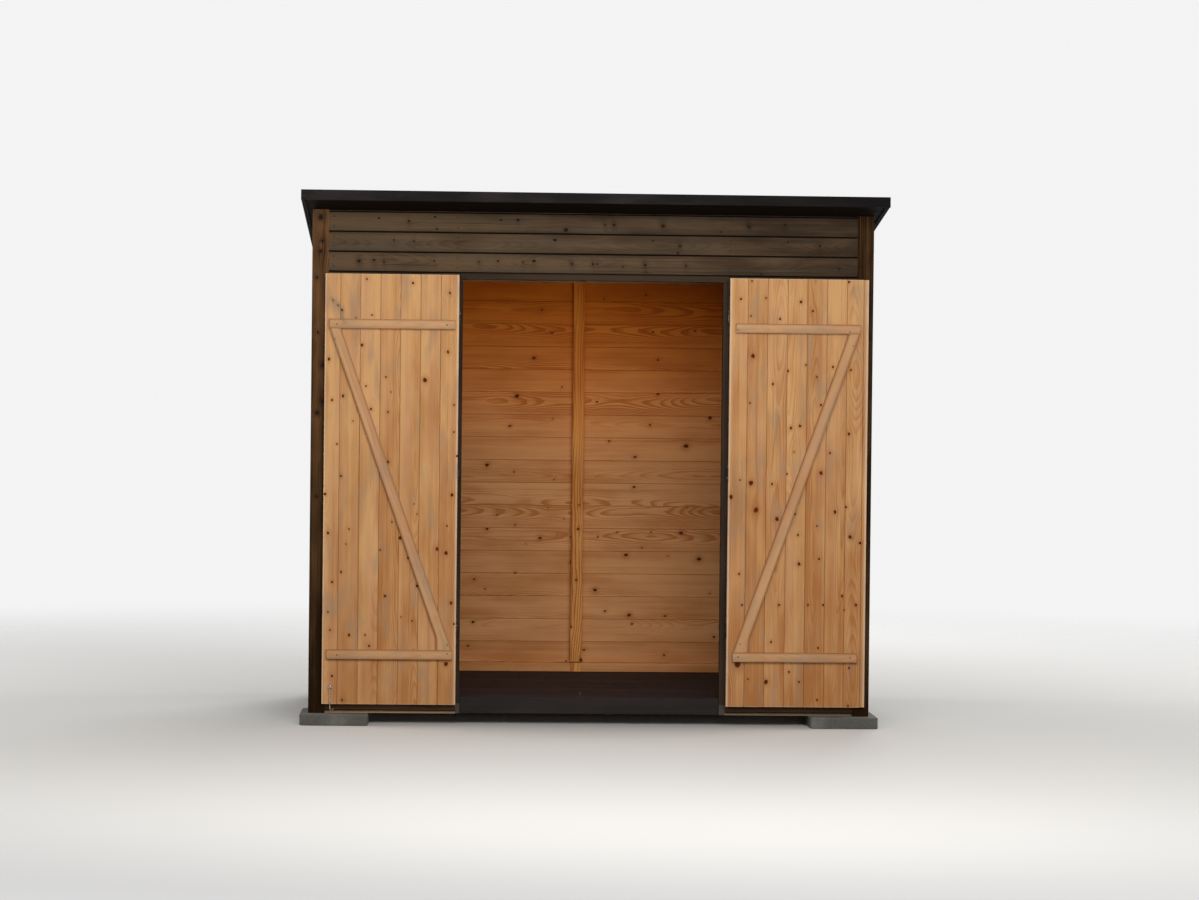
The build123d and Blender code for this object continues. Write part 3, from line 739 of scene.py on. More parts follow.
# Outer boarding: 88 mm boards on the front and 110 mm boards on the sides and back, nailed across.
# Outside they have V joints and a thin brown stain that shows the knots; inside they are bare.
# The knots over the doorway and the jambs' nails are set where the photograph shows them, from its own camera.
camera_place = np.array((-0.582, -15.047, 1.422))
camera_turn = 0.04277
camera_pitch = -0.01396
camera_roll = 0.01084
photo_size = (1199, 900)
focal_pixels = 3256.6
board_thickness = 0.018
front_cover = 0.088
wall_cover = 0.1105
first_wall_board = 0.092
cladding_early = (0.112, 0.068, 0.036, 1)
cladding_late = (0.036, 0.0205, 0.0105, 1)
cladding_blush = (0.082, 0.059, 0.038, 1)
cladding_halo = (0.012, 0.0065, 0.0035, 1)
foot_early = (0.085, 0.032, 0.0090, 1)
foot_late = (0.044, 0.020, 0.0078, 1)
foot_from = 0.098
foot_to = 0.125
cladding_seam = (0.0040, 0.0028, 0.0020, 1)
inside_early = (0.67, 0.330, 0.135, 1)
inside_late = (0.45, 0.165, 0.045, 1)
inside_blush = (0.61, 0.275, 0.115, 1)
# Painted shade and bounce light: the bare pine inside blends up to these deeper oranges between the two heights below.
painted_shade_early = (0.76, 0.210, 0.008, 1)
painted_shade_late = (0.52, 0.105, 0.003, 1)
painted_shade_blush = (0.70, 0.175, 0.006, 1)
painted_shade_from = 0.95
painted_shade_to = 2.05
inside_halo = (0.24, 0.070, 0.014, 1)
inside_seam = (0.17, 0.055, 0.013, 1)
top_knots_seen = (
    (379, 218, 5), (409, 221, 5), (435, 217, 5), (437, 229, 5), (518, 220, 7), (566, 230, 9), (501, 220, 5),
    (394, 240, 4), (414, 241, 4), (555, 240, 7), (359, 261, 7), (374, 260, 6), (384, 262, 4), (434, 261, 4),
    (479, 262, 4), (498, 261, 5), (523, 262, 4), (534, 261, 7), (572, 264, 5), (593, 264, 5), (605, 225, 4),
    (614, 225, 6), (663, 226, 8), (721, 232, 4), (749, 227, 7), (785, 225, 6), (653, 241, 4), (680, 246, 5),
    (678, 253, 5), (788, 242, 4), (820, 246, 5), (597, 264, 4), (623, 267, 4), (645, 265, 6), (646, 272, 4),
    (686, 266, 4), (839, 269, 4), (761, 274, 4))
pine_knot_colours = ((0.085, 0.015, 0.001, 1), (0.150, 0.030, 0.002, 1), (0.26, 0.058, 0.006, 1),
                     (0.085, 0.015, 0.001, 1))
jamb_nails_seen = ((457.7, 250), (730.0, 250))
nail_spread = 0.022

ahead = np.array((math.sin(camera_turn) * math.cos(camera_pitch), math.cos(camera_turn) * math.cos(camera_pitch),
                  math.sin(camera_pitch)))
level_right = np.array((ahead[1], -ahead[0], 0)) / math.hypot(ahead[0], ahead[1])
level_up = np.cross(level_right, ahead)
camera_right = level_right * math.cos(camera_roll) + level_up * math.sin(camera_roll)
camera_up = level_up * math.cos(camera_roll) - level_right * math.sin(camera_roll)


def seen_at(across, down, y):
    """Where the sight line through a place in the photograph meets a wall at y: (x, z)."""
    line = ahead * focal_pixels + camera_right * (across - photo_size[0] / 2) - camera_up * (down - photo_size[1] / 2)
    met = camera_place + line * (y - camera_place[1]) / line[1]
    return met[0], met[2]


def knots_seen(seen, y, to_board=lambda x, z: (x, z)):
    """Knots from their places in the photograph and their radii in mm, in a panel's own measures."""
    return [(*to_board(*seen_at(across, down, y)), radius / 1000) for across, down, radius in seen]


def up_the_wall(first, last, start=painted_shade_from, end=painted_shade_to):
    """A colour that goes from one to another with the height. On the inside walls the deeper orange at the top is
    painted shade and painted bounce light.
    """
    def made(tree):
        height = parts_of(tree, object_place(tree))[2]
        return blend_colour(tree, ease(tree, height, start, end), first, last)
    return made


cladding_figure = {"blush": cladding_blush, "halo": cladding_halo, "seam": cladding_seam, "ring_width": 0.0028,
                   "contrast": 0.24, "mottle": 1.25, "depth": 0.0004, "Specular_IOR_Level": 0.08}
cladding_stain = board_finish("cladding_stain", cladding_early, cladding_late, **cladding_figure)
front_stain = board_finish("front_stain", up_the_wall(foot_early, cladding_early, foot_from, foot_to),
                           up_the_wall(foot_late, cladding_late, foot_from, foot_to), **cladding_figure)
inside_pine = board_finish("inside_pine", up_the_wall(inside_early, painted_shade_early),
                           up_the_wall(inside_late, painted_shade_late), up_the_wall(inside_blush, painted_shade_blush),
                           inside_halo, inside_seam, ring_width=0.0034, contrast=0.85, mottle=1.15,
                           Specular_IOR_Level=0.08)
pine_knot = knot_wood("pine_knot", *pine_knot_colours)


def wall_place(inner_face, way):
    """Front or back boards: along X, up Z to the roof, and out along Y from their bare inner face."""
    def place(u, v, w):
        y = inner_face + way * w
        return np.stack((u, y, np.minimum(v, under_roof(y))), -1)
    return place


def clad(wall, edges, span, place, stain, seed, **settings):
    """Boarding of one part of a wall: stained outside and at its ends, and bare inside."""
    boarded(f"{wall}_cladding", [f"{wall}_boards"], "store", "board_stain", edges, span, board_thickness, place,
            [inside_pine, stain], seed, end_finish=1, **settings)


low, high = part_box("front_top_boards")
front_inner = high.y
front_place = wall_place(front_inner, -1)
top_edges = joints(low.z, high.z, front_cover, least=0.004)
# Painted shade: the tone rises along X, so the top boards darken from left to right, for light that falls from the
# left.
clad("front_top", top_edges, (low.x, high.x), front_place, cladding_stain, seed=41,
     knots=knots_seen(top_knots_seen, low.y), faces=(-1, 1), step=0.012, tone=lambda low, u: 0.34 + 0.42 * u,
     knot_finish=stained_knot)
front_edges = {}
for side, word in ((-1, "left"), (1, "right")):
    low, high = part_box(f"front_{word}_boards")
    front_edges[side] = joints(low.z, high.z, front_cover, (high.z - low.z) % front_cover, least=0.004)
    clad(f"front_{word}", front_edges[side], (low.x, high.x), front_place, front_stain, seed=42 + side,
         knot_gap=0.5, faces=(-1, 1), step=0.016, along_step=0.014,
         tone=lambda low, u: 0.65 + 0.3 * side if low < 0.1 else 0.35, knot_finish=stained_knot)

# Nails of the boarding: two wire nails in each board over each stud and post, dark from the stain.
# The jambs' columns have none near the hinges, where the shut doors' leaves lie.
nail_colour = (0.05, 0.032, 0.022, 1)
nail_dark = (0.010, 0.008, 0.007, 1)
nail_radius = 0.0035
nail_edge = 0.01
nail_profile = [(0, 0.0010), (0.4, 0.0009), (0.75, 0.0006), (1, 0.0001), (1, -0.0005), (0, -0.0005)]
post_nail_inset = 0.022
side_stud_nails = (-0.590, 0.081, 0.752)
hinge_heights = (0.430, 1.118, 1.806)
hinge_clear = 0.055


def nail_steel():
    """Nail heads under a thin stain."""
    made, tree, shader = new_material("nail_steel", Metallic=0.6, Specular_IOR_Level=0.3)
    cloud = grain_noise(tree, attribute(tree, "log", "Vector"), (700, 700, 700), 2)
    tree.links.new(blend_colour(tree, cloud, nail_dark, nail_colour), shader.inputs["Base Color"])
    tree.links.new(calc(tree, "MULTIPLY_ADD", cloud, 0.4, 0.35), shader.inputs["Roughness"])
    relief(tree, shader, cloud, 0.0002)
    return made


def nail_rows(edges, columns, span_of=None):
    """Two nails in each board at each column, but one in a narrow board, below the height that span_of gives."""
    rows = []
    for low, high in zip(edges[:-1], edges[1:]):
        middle = (low + high) / 2
        heights = (middle - nail_spread, middle + nail_spread) if high - low > 0.07 else (middle,)
        rows += [(along, z, nail_radius) for along in columns for z in heights
                 if high - low > 0.02 and (span_of is None or z < span_of(along) - nail_edge)]
    return rows


def nailed(shape, place, rows):
    """Gather nail heads on the outer face of boards."""
    spots(shape, place, rows, board_thickness, 1, nail_profile, 10)


dark_nails = nail_steel()
nails = new_shape()
jamb_columns = [seen_at(*spot, front_inner)[0] for spot in jamb_nails_seen]
outer_columns = [-post_inner + post_nail_inset, *jamb_columns, post_inner - post_nail_inset]
nailed(nails, front_place, nail_rows(top_edges, outer_columns))
for side, columns in ((-1, outer_columns[:2]), (1, outer_columns[2:])):
    driven = [nail for nail in nail_rows(front_edges[side], columns)
              if nail[0] not in jamb_columns or min(abs(nail[1] - z) for z in hinge_heights) > hinge_clear]
    nailed(nails, front_place, driven)


# Back and side walls: the same boards, and on the inside of the back wall the bare pine faces the doorway.
# The upper boards' deeper orange is painted shade and painted bounce light, and the knots that show are where the
# photograph has them.
wall_knots_seen = (
    (542, 310, 5), (552, 333, 5), (534, 358, 7), (562, 387, 4), (517, 396, 9), (604, 299, 4), (646, 295, 4),
    (653, 332, 5), (695, 331, 5), (658, 360, 5), (658, 394, 6), (597, 402, 5), (710, 418, 8), (510, 426, 6),
    (553, 419, 3), (487, 465, 8), (514, 472, 4), (554, 479, 3), (548, 508, 3), (497, 515, 4), (564, 519, 3),
    (515, 525, 4), (487, 529, 6), (540, 538, 7), (526, 544, 3), (571, 562, 6), (571, 537, 5), (557, 535, 2),
    (609, 441, 5), (635, 457, 6), (686, 446, 10), (650, 425, 5), (634, 487, 6), (598, 537, 4), (617, 532, 4),
    (651, 532, 4), (681, 533, 9), (642, 548, 4), (626, 555, 8), (699, 559, 9), (668, 556, 3), (687, 508, 3),
    (474, 579, 5), (485, 589, 4), (515, 573, 5), (595, 590, 8), (473, 622, 6), (468, 646, 5), (584, 650, 5),
    (605, 611, 5), (629, 615, 8), (632, 624, 5), (665, 616, 5), (714, 637, 6), (664, 655, 5))
wall_window = (-0.60, 0.62)


low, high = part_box("back_boards")
back_edges = joints(low.z, high.z, wall_cover, first_wall_board)
back_place = wall_place(low.y, 1)
clad("back", back_edges, (low.x, high.x), back_place, cladding_stain, seed=51,
     knots=knots_seen(wall_knots_seen, low.y), knot_gap=0.60, clear=wall_window, step=0.014, along_step=0.014,
     tone=lambda low, u: 0.02, knot_finish=pine_knot, knot_slot="raw_pine")
back_columns = [low.x + post_nail_inset, 0, high.x - post_nail_inset]
nailed(nails, back_place, nail_rows(back_edges, back_columns, lambda x: under_roof(high.y)))


def side_place(side, inner_face):
    """Side boards: along Y, up Z, and outwards from their bare inner face, cut to the roof."""
    def place(u, v, w):
        return np.stack((side * (inner_face + w), u, np.minimum(v, under_roof(u))), -1)
    return place


for side, word in ((-1, "left"), (1, "right")):
    low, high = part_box(f"{word}_boards")
    inner_face = min(abs(low.x), abs(high.x))

    def side_span(foot, low=low, high=high):
        """Where a board ends along the wall: at the back post, or where its lower edge meets the roof."""
        return low.y, min(high.y, front_face + (soffit_front - foot) / roof_slope - 0.002)

    side_edges = joints(low.z, high.z, wall_cover, first_wall_board)
    place = side_place(side, inner_face)
    clad(word, side_edges, side_span, place, cladding_stain, seed=54 + side, knot_gap=0.6, faces=(-1, 1),
         step=0.018, along_step=0.018, tone=lambda low, u: 0.35, knot_finish=stained_knot)
    nailed(nails, place, nail_rows(side_edges, side_stud_nails, under_roof))
spot_piece("cladding_nails", nails, dark_nails, "store", "zinc_steel")


# Back studs and rail: planed bare pine, the middle stud standing on the floor between two rails.
# They are fixed inside the boarding. The middle stud has small knots up its face and a saw cut near its foot.
back_stud_width = 0.055
back_stud_middle = -0.010
end_stud_width = 0.045
stud_arris = 0.002
stud_knots_seen = ((576, 580, 5), (571, 627, 5), (581, 660, 7), (579, 505, 4), (578, 529, 6), (566, 661, 4))
stud_foot_height = 0.042
stud_cut = 0.006
# Each pair is the lower colour and then the upper one. The deeper orange up the stud is painted shade and bounce light,
# as on the wall boards.
stud_early = ((0.72, 0.330, 0.095, 1), (0.80, 0.260, 0.022, 1))
stud_late = ((0.42, 0.130, 0.022, 1), (0.50, 0.105, 0.005, 1))
stud_blush = ((0.68, 0.290, 0.085, 1), (0.76, 0.220, 0.016, 1))
frame_pine = board_finish("frame_pine", up_the_wall(*stud_early), up_the_wall(*stud_late),
                          up_the_wall(*stud_blush), inside_halo, inside_seam, ring_width=0.0090, contrast=1.35,
                          mottle=1.1, depth=0.0004, Specular_IOR_Level=0.08)

low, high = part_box("back_studs")
rail_low, rail_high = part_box("back_bottom_rail")
stud_left, stud_right = back_stud_middle - back_stud_width / 2, back_stud_middle + back_stud_width / 2
shape, marks = new_shape(), new_shape()
stud_depth, stud_start = high.y - low.y, low.z + stud_foot_height + stud_cut


def stud_place(u, v, w):
    """Middle stud: up Z from the saw cut near its foot, across X from its left side, and back from its face."""
    return np.stack((stud_left + v, low.y + w, stud_start + u), -1)


def stud_foot_place(u, v, w):
    """Foot of the middle stud, below the saw cut."""
    return np.stack((stud_left + v, low.y + w, low.z + u), -1)


stud_knots = knots_seen(stud_knots_seen, low.y, lambda x, z: (z - stud_start, x - stud_left))
timber(shape, back_stud_width, stud_depth, high.z - stud_start, stud_place, 67, 0.15, stud_knots, stud_arris)
timber(shape, back_stud_width, stud_depth, stud_foot_height, stud_foot_place, 69, 0.0, (), stud_arris)
knotted(marks, stud_place, stud_knots, 0, -1)
spot_piece("back_stud_knots", marks, pine_knot, "store", "raw_pine")
for start, seed in ((low.x, 62), (high.x - end_stud_width, 63)):
    timber(shape, end_stud_width, stud_depth, high.z - rail_high.z,
           lambda u, v, w: np.stack((start + v, low.y + w, rail_high.z + u), -1), seed, 0.3,
           arris=stud_arris, along_step=0.03)
shape_piece("back_wall_studs", shape, [frame_pine], "store", "raw_pine", ["back_studs"])
timbers("back_wall_rail", "back_bottom_rail", [(rail_low, (stud_left, rail_high.y, rail_high.z)),
                                               ((stud_right, rail_low.y, rail_low.z), rail_high)],
        inside_pine, "raw_pine", seed=64, along_step=0.02)


# Roof: boards under mineral felt in two sheets, the upper lapped over the lower, with three rows of clout nails.
# The edge boards all round are painted anthracite, and the roof boards are stained where they pass the walls.
felt_thickness = 0.0035
felt_lap = 0.09
felt_sheet = 0.98
felt_step = 0.004
felt_under = 0.0002
felt_ripple = 0.0007
covering_depth = 0.004
felt_colour = (0.030, 0.030, 0.032, 1)
felt_pale = (0.095, 0.095, 0.100, 1)
edge_colour = (0.0115, 0.0095, 0.0102, 1)
edge_worn = (0.026, 0.022, 0.023, 1)
edge_painted_shade = (0.0058, 0.0048, 0.0052, 1)
edge_thickness = 0.020
edge_height = 0.045
edge_drop = 0.005
roof_cos = math.cos(roof_pitch)
deck_dark = (0.005, 0.0034, 0.0022, 1)
deck_brown = (0.011, 0.0075, 0.0048, 1)
clout_pitch = 0.080
clout_inset = 0.03
clout_lap_inset = 0.025
clout_radius = 0.005
clout_stand = 0.0008
clout_profile = [(0, 0.0014), (0.5, 0.0013), (0.9, 0.0010), (1, 0.0002), (1, -0.0003), (0, -0.0003)]


def mineral_felt():
    """Bitumen felt faced with slate granules, faded in clouds."""
    made, tree, shader = new_material("mineral_felt", Roughness=0.95, Specular_IOR_Level=0.2)
    place = object_place(tree)
    chips = shader_node(tree, "ShaderNodeTexVoronoi", {"Vector": place, "Scale": 900.0})
    cloud = grain_noise(tree, place, (5, 5, 5), 4)
    chip = parts_of(tree, chips.outputs["Color"])[0]
    mixed = calc(tree, "MULTIPLY_ADD", cloud, 0.5, calc(tree, "MULTIPLY", chip, 0.6), clamp=True)
    tree.links.new(blend_colour(tree, mixed, felt_colour, felt_pale), shader.inputs["Base Color"])
    relief(tree, shader, chip, 0.0008)
    return made


def edge_paint():
    """Thick flat paint on the roof's edge boards, rubbed paler in places, and darkest at the right as painted shade."""
    made, tree, shader = new_material("edge_paint", Roughness=0.75, Specular_IOR_Level=0.06)
    place = object_place(tree)
    brush = grain_noise(tree, place, (9, 9, 260), 3)
    cloud = grain_noise(tree, place, (4, 4, 12), 3)
    rubbed = ease(tree, calc(tree, "MULTIPLY_ADD", brush, 0.4, cloud), 0.55, 0.95)
    # Painted shade: darker towards the right, for light that falls from the left.
    kept = ease(tree, parts_of(tree, place)[0], 0.1, 1.2, 0.0, 0.85)
    painted = blend_colour(tree, kept, blend_colour(tree, rubbed, edge_colour, edge_worn), edge_painted_shade)
    tree.links.new(painted, shader.inputs["Base Color"])
    relief(tree, shader, brush, 0.0003)
    return made


painted_edge = edge_paint()
for word in ("front", "back"):
    timbers(f"{word}_edge_board", f"fascia_{word}", [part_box(f"fascia_{word}")], painted_edge, "edge_paint",
            seed=65, along_step=0.05)
barge_low, barge_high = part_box("bargeboards")
shape = new_shape()
for side in (-1, 1):
    def barge_place(u, v, w, side=side):
        """Edge board down the roof: along Y, up at right angles to the roof, outwards from its inner face."""
        y = barge_low.y + u
        return np.stack((side * (barge_high.x - edge_thickness + w), y,
                         under_roof(y) + (v - edge_drop) / roof_cos), -1)

    timber(shape, edge_height, edge_thickness, barge_high.y - barge_low.y, barge_place, 66, 0.1,
           arris=0.002, step=0.015, along_step=0.05)
shape_piece("side_edge_boards", shape, [painted_edge], "store", "edge_paint", ["bargeboards"])


def deck_cover(tree):
    """Near black stain where the roof boards pass the room's walls: farther than room_half from its middle."""
    place = object_place(tree)
    across, along = parts_of(tree, place)[:2]
    off_middle = calc(tree, "SUBTRACT", along, room_middle)
    outside = calc(tree, "MAXIMUM", calc(tree, "GREATER_THAN", calc(tree, "ABSOLUTE", across), room_half_x),
                   calc(tree, "GREATER_THAN", calc(tree, "ABSOLUTE", off_middle), room_half_y))
    return outside, blend_colour(tree, grain_noise(tree, place, (9, 300, 300), 2), deck_dark, deck_brown)


room_half_x = -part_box("left_boards")[1].x
room_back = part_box("back_boards")[0].y
room_middle, room_half_y = (front_inner + room_back) / 2, (room_back - front_inner) / 2
deck_pine = straight_timber("deck_boards", "X", frame_early, frame_late, frame_blush, 0.0035, Specular_IOR_Level=0.02)
dress("roof_deck", covered(deck_pine, deck_cover))

felt_low, felt_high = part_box("roof_covering")
felt_run = felt_high.y - felt_low.y
deck_top = felt_high.z - covering_depth / roof_cos


def felt_section(start, end, climbs):
    """Side profile of one felt sheet as (distance from the back edge, height over the boards).

    The upper sheet climbs over the lower one at the lap by a logistic step.
    """
    run = np.linspace(start, end, 40)
    over = felt_thickness * (1 - 1 / (1 + np.exp(-(run - start - felt_lap) / felt_step))) if climbs else 0 * run
    top = np.stack((run, over + felt_thickness), -1)
    bottom = np.stack((run[::-1], over[::-1] + felt_under), -1)
    outline = np.concatenate((top, bottom))
    return outline, [0] * len(outline), np.zeros(len(outline))


def felt_place(u, v, w):
    """Along X, up the slope from the back edge, and up from the boards, with slow ripples."""
    y = felt_high.y - v
    level = deck_top - (y - felt_low.y) * roof_slope
    spot = np.stack((u, y, 0 * u), -1)
    return np.stack((u, y, level + w + felt_ripple * (waves(spot, 0.5, 5) + 1) * (w > 0.002)), -1)


shape, clouts = new_shape(), new_shape()
for start, end, climbs in ((0.0, felt_sheet, False), (felt_sheet - felt_lap, felt_run, True)):
    sweep(shape, felt_section(start, end, climbs), np.linspace(felt_low.x, felt_high.x, 90), felt_place,
          (0, 0), 0, lambda u: 0.5)
shape_piece("roof_felt", shape, [mineral_felt()], "store", "roofing_felt", ["roof_covering"])
for x in np.arange(felt_low.x + clout_inset, felt_high.x, clout_pitch):
    for run in (clout_inset, felt_sheet - felt_lap + clout_lap_inset, felt_run - clout_inset):
        lift = felt_thickness * (2 if abs(run - felt_sheet) < felt_lap else 1)
        spots(clouts, felt_place, [(x, run, clout_radius)], lift + clout_stand, 1, clout_profile, 10)


# Doors: seven upright boards each, bare inside and stained outside, rebated where they meet.
# They stand folded back on the front, so the bare inner faces, ledges and braces show.
# A grey-brown streak runs down from the left door's free edge, over its upper ledge's end.
door_early = (0.650, 0.360, 0.146, 1)
door_late = (0.400, 0.155, 0.042, 1)
door_blush = (0.580, 0.300, 0.145, 1)
door_halo = (0.32, 0.115, 0.034, 1)
door_seam = (0.19, 0.078, 0.025, 1)
ledge_early = (0.600, 0.335, 0.160, 1)
ledge_late = (0.42, 0.190, 0.072, 1)
ledge_blush = (0.560, 0.290, 0.155, 1)
# Painted shade: the doors darken from the top down to their foot, and the right door is darker all over, for how the
# light falls.
door_foot_shade = {-1: 0.47, 1: 0.62}
door_side_shade = {-1: 0.01, 1: 0.13}
door_shade_height = 1.9
door_grey = (0.330, 0.225, 0.140, 1)
streak_colour = (0.230, 0.170, 0.112, 1)
hinge_board = 0.080
lip_width = 0.024
lip_thickness = 0.0065
lip_seam = 0.004
ledge_arris = 0.0015
# Painted shade and dirt: how dark the ledges' and braces' arrises and ends are made.
ledge_edge_dirt_and_shade = 0.45
ledge_high = 0.042
brace_width = 0.045
brace_foot = 0.055
streak_seen = ((332, 299), (338, 305), (342, 311), (342, 319), (345, 322))
streak_width = 0.009
door_knots_seen = {
    "left": (
        (333, 300, 3), (338, 305, 3), (342, 310, 5), (356, 318, 3), (367, 279, 4), (413, 283, 5),
        (450, 293, 5), (372, 315, 4), (362, 345, 6), (329, 359, 6), (448, 352, 6),
        (386, 377, 4), (425, 380, 9), (366, 386, 4), (391, 392, 3), (343, 396, 6), (332, 400, 5), (371, 409, 5),
        (388, 412, 4), (454, 405, 4), (353, 421, 3), (337, 444, 4), (341, 476, 5), (325, 494, 6), (328, 533, 6),
        (349, 529, 4), (346, 544, 3), (388, 462, 6), (392, 522, 4), (400, 538, 7), (380, 550, 4), (408, 558, 5),
        (414, 504, 3), (417, 514, 3), (454, 432, 4), (457, 456, 5), (452, 495, 7), (447, 526, 4), (446, 553, 8),
        (437, 549, 7), (341, 572, 5), (332, 582, 5), (385, 596, 6), (417, 586, 6), (451, 603, 7), (328, 612, 4),
        (401, 617, 3), (412, 621, 4), (454, 624, 5), (330, 630, 4), (349, 635, 6), (365, 635, 4), (369, 646, 5),
        (446, 664, 9), (332, 676, 5), (342, 700, 5)),
    "right": (
        (741, 299, 5), (751, 316, 4), (766, 298, 4), (780, 319, 5), (801, 302, 6), (813, 311, 5), (849, 282, 5),
        (752, 281, 4), (753, 356, 9), (788, 371, 5), (773, 384, 5), (833, 367, 5), (806, 365, 4), (817, 377, 4),
        (851, 370, 5), (821, 405, 5), (750, 403, 4), (791, 428, 6), (800, 426, 6), (849, 434, 6),
        (830, 453, 5), (794, 452, 3), (821, 473, 8), (740, 480, 4), (751, 483, 10), (731, 497, 9), (772, 484, 5),
        (787, 474, 4), (756, 510, 11), (777, 519, 9), (795, 514, 5), (817, 526, 4), (798, 535, 5), (835, 512, 7),
        (846, 507, 5), (850, 537, 8), (860, 543, 6), (819, 559, 5), (799, 564, 7), (739, 574, 5), (742, 605, 5),
        (773, 570, 5), (779, 605, 5), (808, 605, 5), (823, 605, 5), (842, 596, 6), (856, 605, 6), (844, 610, 4),
        (771, 642, 5), (818, 648, 5), (737.5, 664.5, 13), (789, 672, 5), (748, 679, 4), (766, 682, 9), (799, 682, 5),
        (817, 700, 5), (848, 706, 5), (849, 668, 5)),
}
door_screws_seen = {
    "left": ((337, 655), (447, 654), (447, 645), (337, 324), (447, 325), (335, 339)),
    "right": ((738, 657), (850, 658), (740, 644), (738, 330), (850, 332), (853, 346)),
}
screw_radius = 0.0036
screw_profile = [(0, 0.0001), (0.3, 0.0001), (0.38, 0.0009), (0.85, 0.0008), (1, 0.0001), (1, -0.0005), (0, -0.0005)]
ledge_nail_columns = 0.022
ledge_nail_edge = 0.03


def grey_patches(tree):
    """Soft grey patches where the pine was handled."""
    cloud = grain_noise(tree, attribute(tree, "log", "Vector"), (5, 16, 16), 3)
    return ease(tree, cloud, 0.50, 0.74, 0.0, 0.55), door_grey


def dark_streak(tree):
    """The streak's mask, broken up by a noise."""
    broken = ease(tree, grain_noise(tree, attribute(tree, "log", "Vector"), (90, 300, 300), 3), 0.30, 0.60)
    return calc(tree, "MULTIPLY", attribute(tree, "streak"), broken), streak_colour


def door_finish(name, *colours, **figure_values):
    """Bare, handled pine of a door, with the streak on the left one."""
    made = covered(board_finish(name, *colours, door_halo, door_seam, **figure_values, depth=0.0003,
                                Specular_IOR_Level=0.2), grey_patches)
    return covered(made, dark_streak) if name.startswith("left") else made


def door_place(side, hinge_edge, foot, inner_face):
    """Door boards: up Z, across from the hinged edge, and back towards the wall from the inner face."""
    def place(u, v, w):
        return np.stack((side * (hinge_edge + v), inner_face + w, foot + u), -1)
    return place


def meeting_section(face, count, rebate, depths, outer, thickness):
    """Section of a door's last board: inner face, rebate, outer face, and a joint like the other boards'.

    The inner face has count points up to face, and depths says how far the rebate's points lie in a joint.
    """
    inner = [(v, 0) for v in np.linspace(board_joint + board_arris, face - board_arris, count)]
    joint = [(0, thickness - groove_depth), (0, tongue_depth), (board_joint, tongue_depth), (board_joint, board_arris)]
    outline = np.array(inner + rebate + [(v, thickness) for v in outer] + joint)
    finishes = [0] * (count + len(rebate)) + [1] * len(outer) + [0] * len(joint)
    return outline, finishes, np.array([0] * count + depths + [0] * len(outer) + [1, 1, 1, seam_rim], float)


def lapped_section(width, thickness):
    """Last board of the right door: its inner face ends at a rebate, and a thin outer lip goes on."""
    face, lip = width - lip_width, thickness - lip_thickness
    rebate = [(face, board_arris), (face, lip), (width - board_arris, lip), (width, lip + board_arris)]
    outer = (width, width - lip_seam, width * 0.6, groove_half)
    return meeting_section(face, 8, rebate, [0.3, 0.6, 0, 0], outer, thickness)


def rebated_section(width, thickness):
    """Last board of the left door: the full inner face, and a rebate behind its free edge."""
    rebate = [(width, board_arris), (width, lip_thickness), (width - lip_width, lip_thickness)]
    outer = (width - lip_width, width * 0.4, groove_half)
    return meeting_section(width, 10, rebate, [0, 0, 0], outer, thickness)


def streak_on(piece, corners, width):
    """Give a piece's points the stain's mask: a bell curve of their distance in X and Z from a line through corners."""
    points = np.empty(len(piece.data.vertices) * 3)
    piece.data.vertices.foreach_get("co", points)
    flat, nearest = points.reshape(-1, 3)[:, (0, 2)], np.full(len(points) // 3, 1.0)
    for first, last in zip(corners[:-1], corners[1:]):
        run = last - first
        share = np.clip((flat - first) @ run / (run @ run), 0, 1)
        nearest = np.minimum(nearest, np.linalg.norm(flat - first - share[:, None] * run, axis=1))
    layer = piece.data.attributes.new("streak", "FLOAT", "POINT")
    layer.data.foreach_set("value", np.exp(-(nearest / width) ** 2).astype(np.float32))


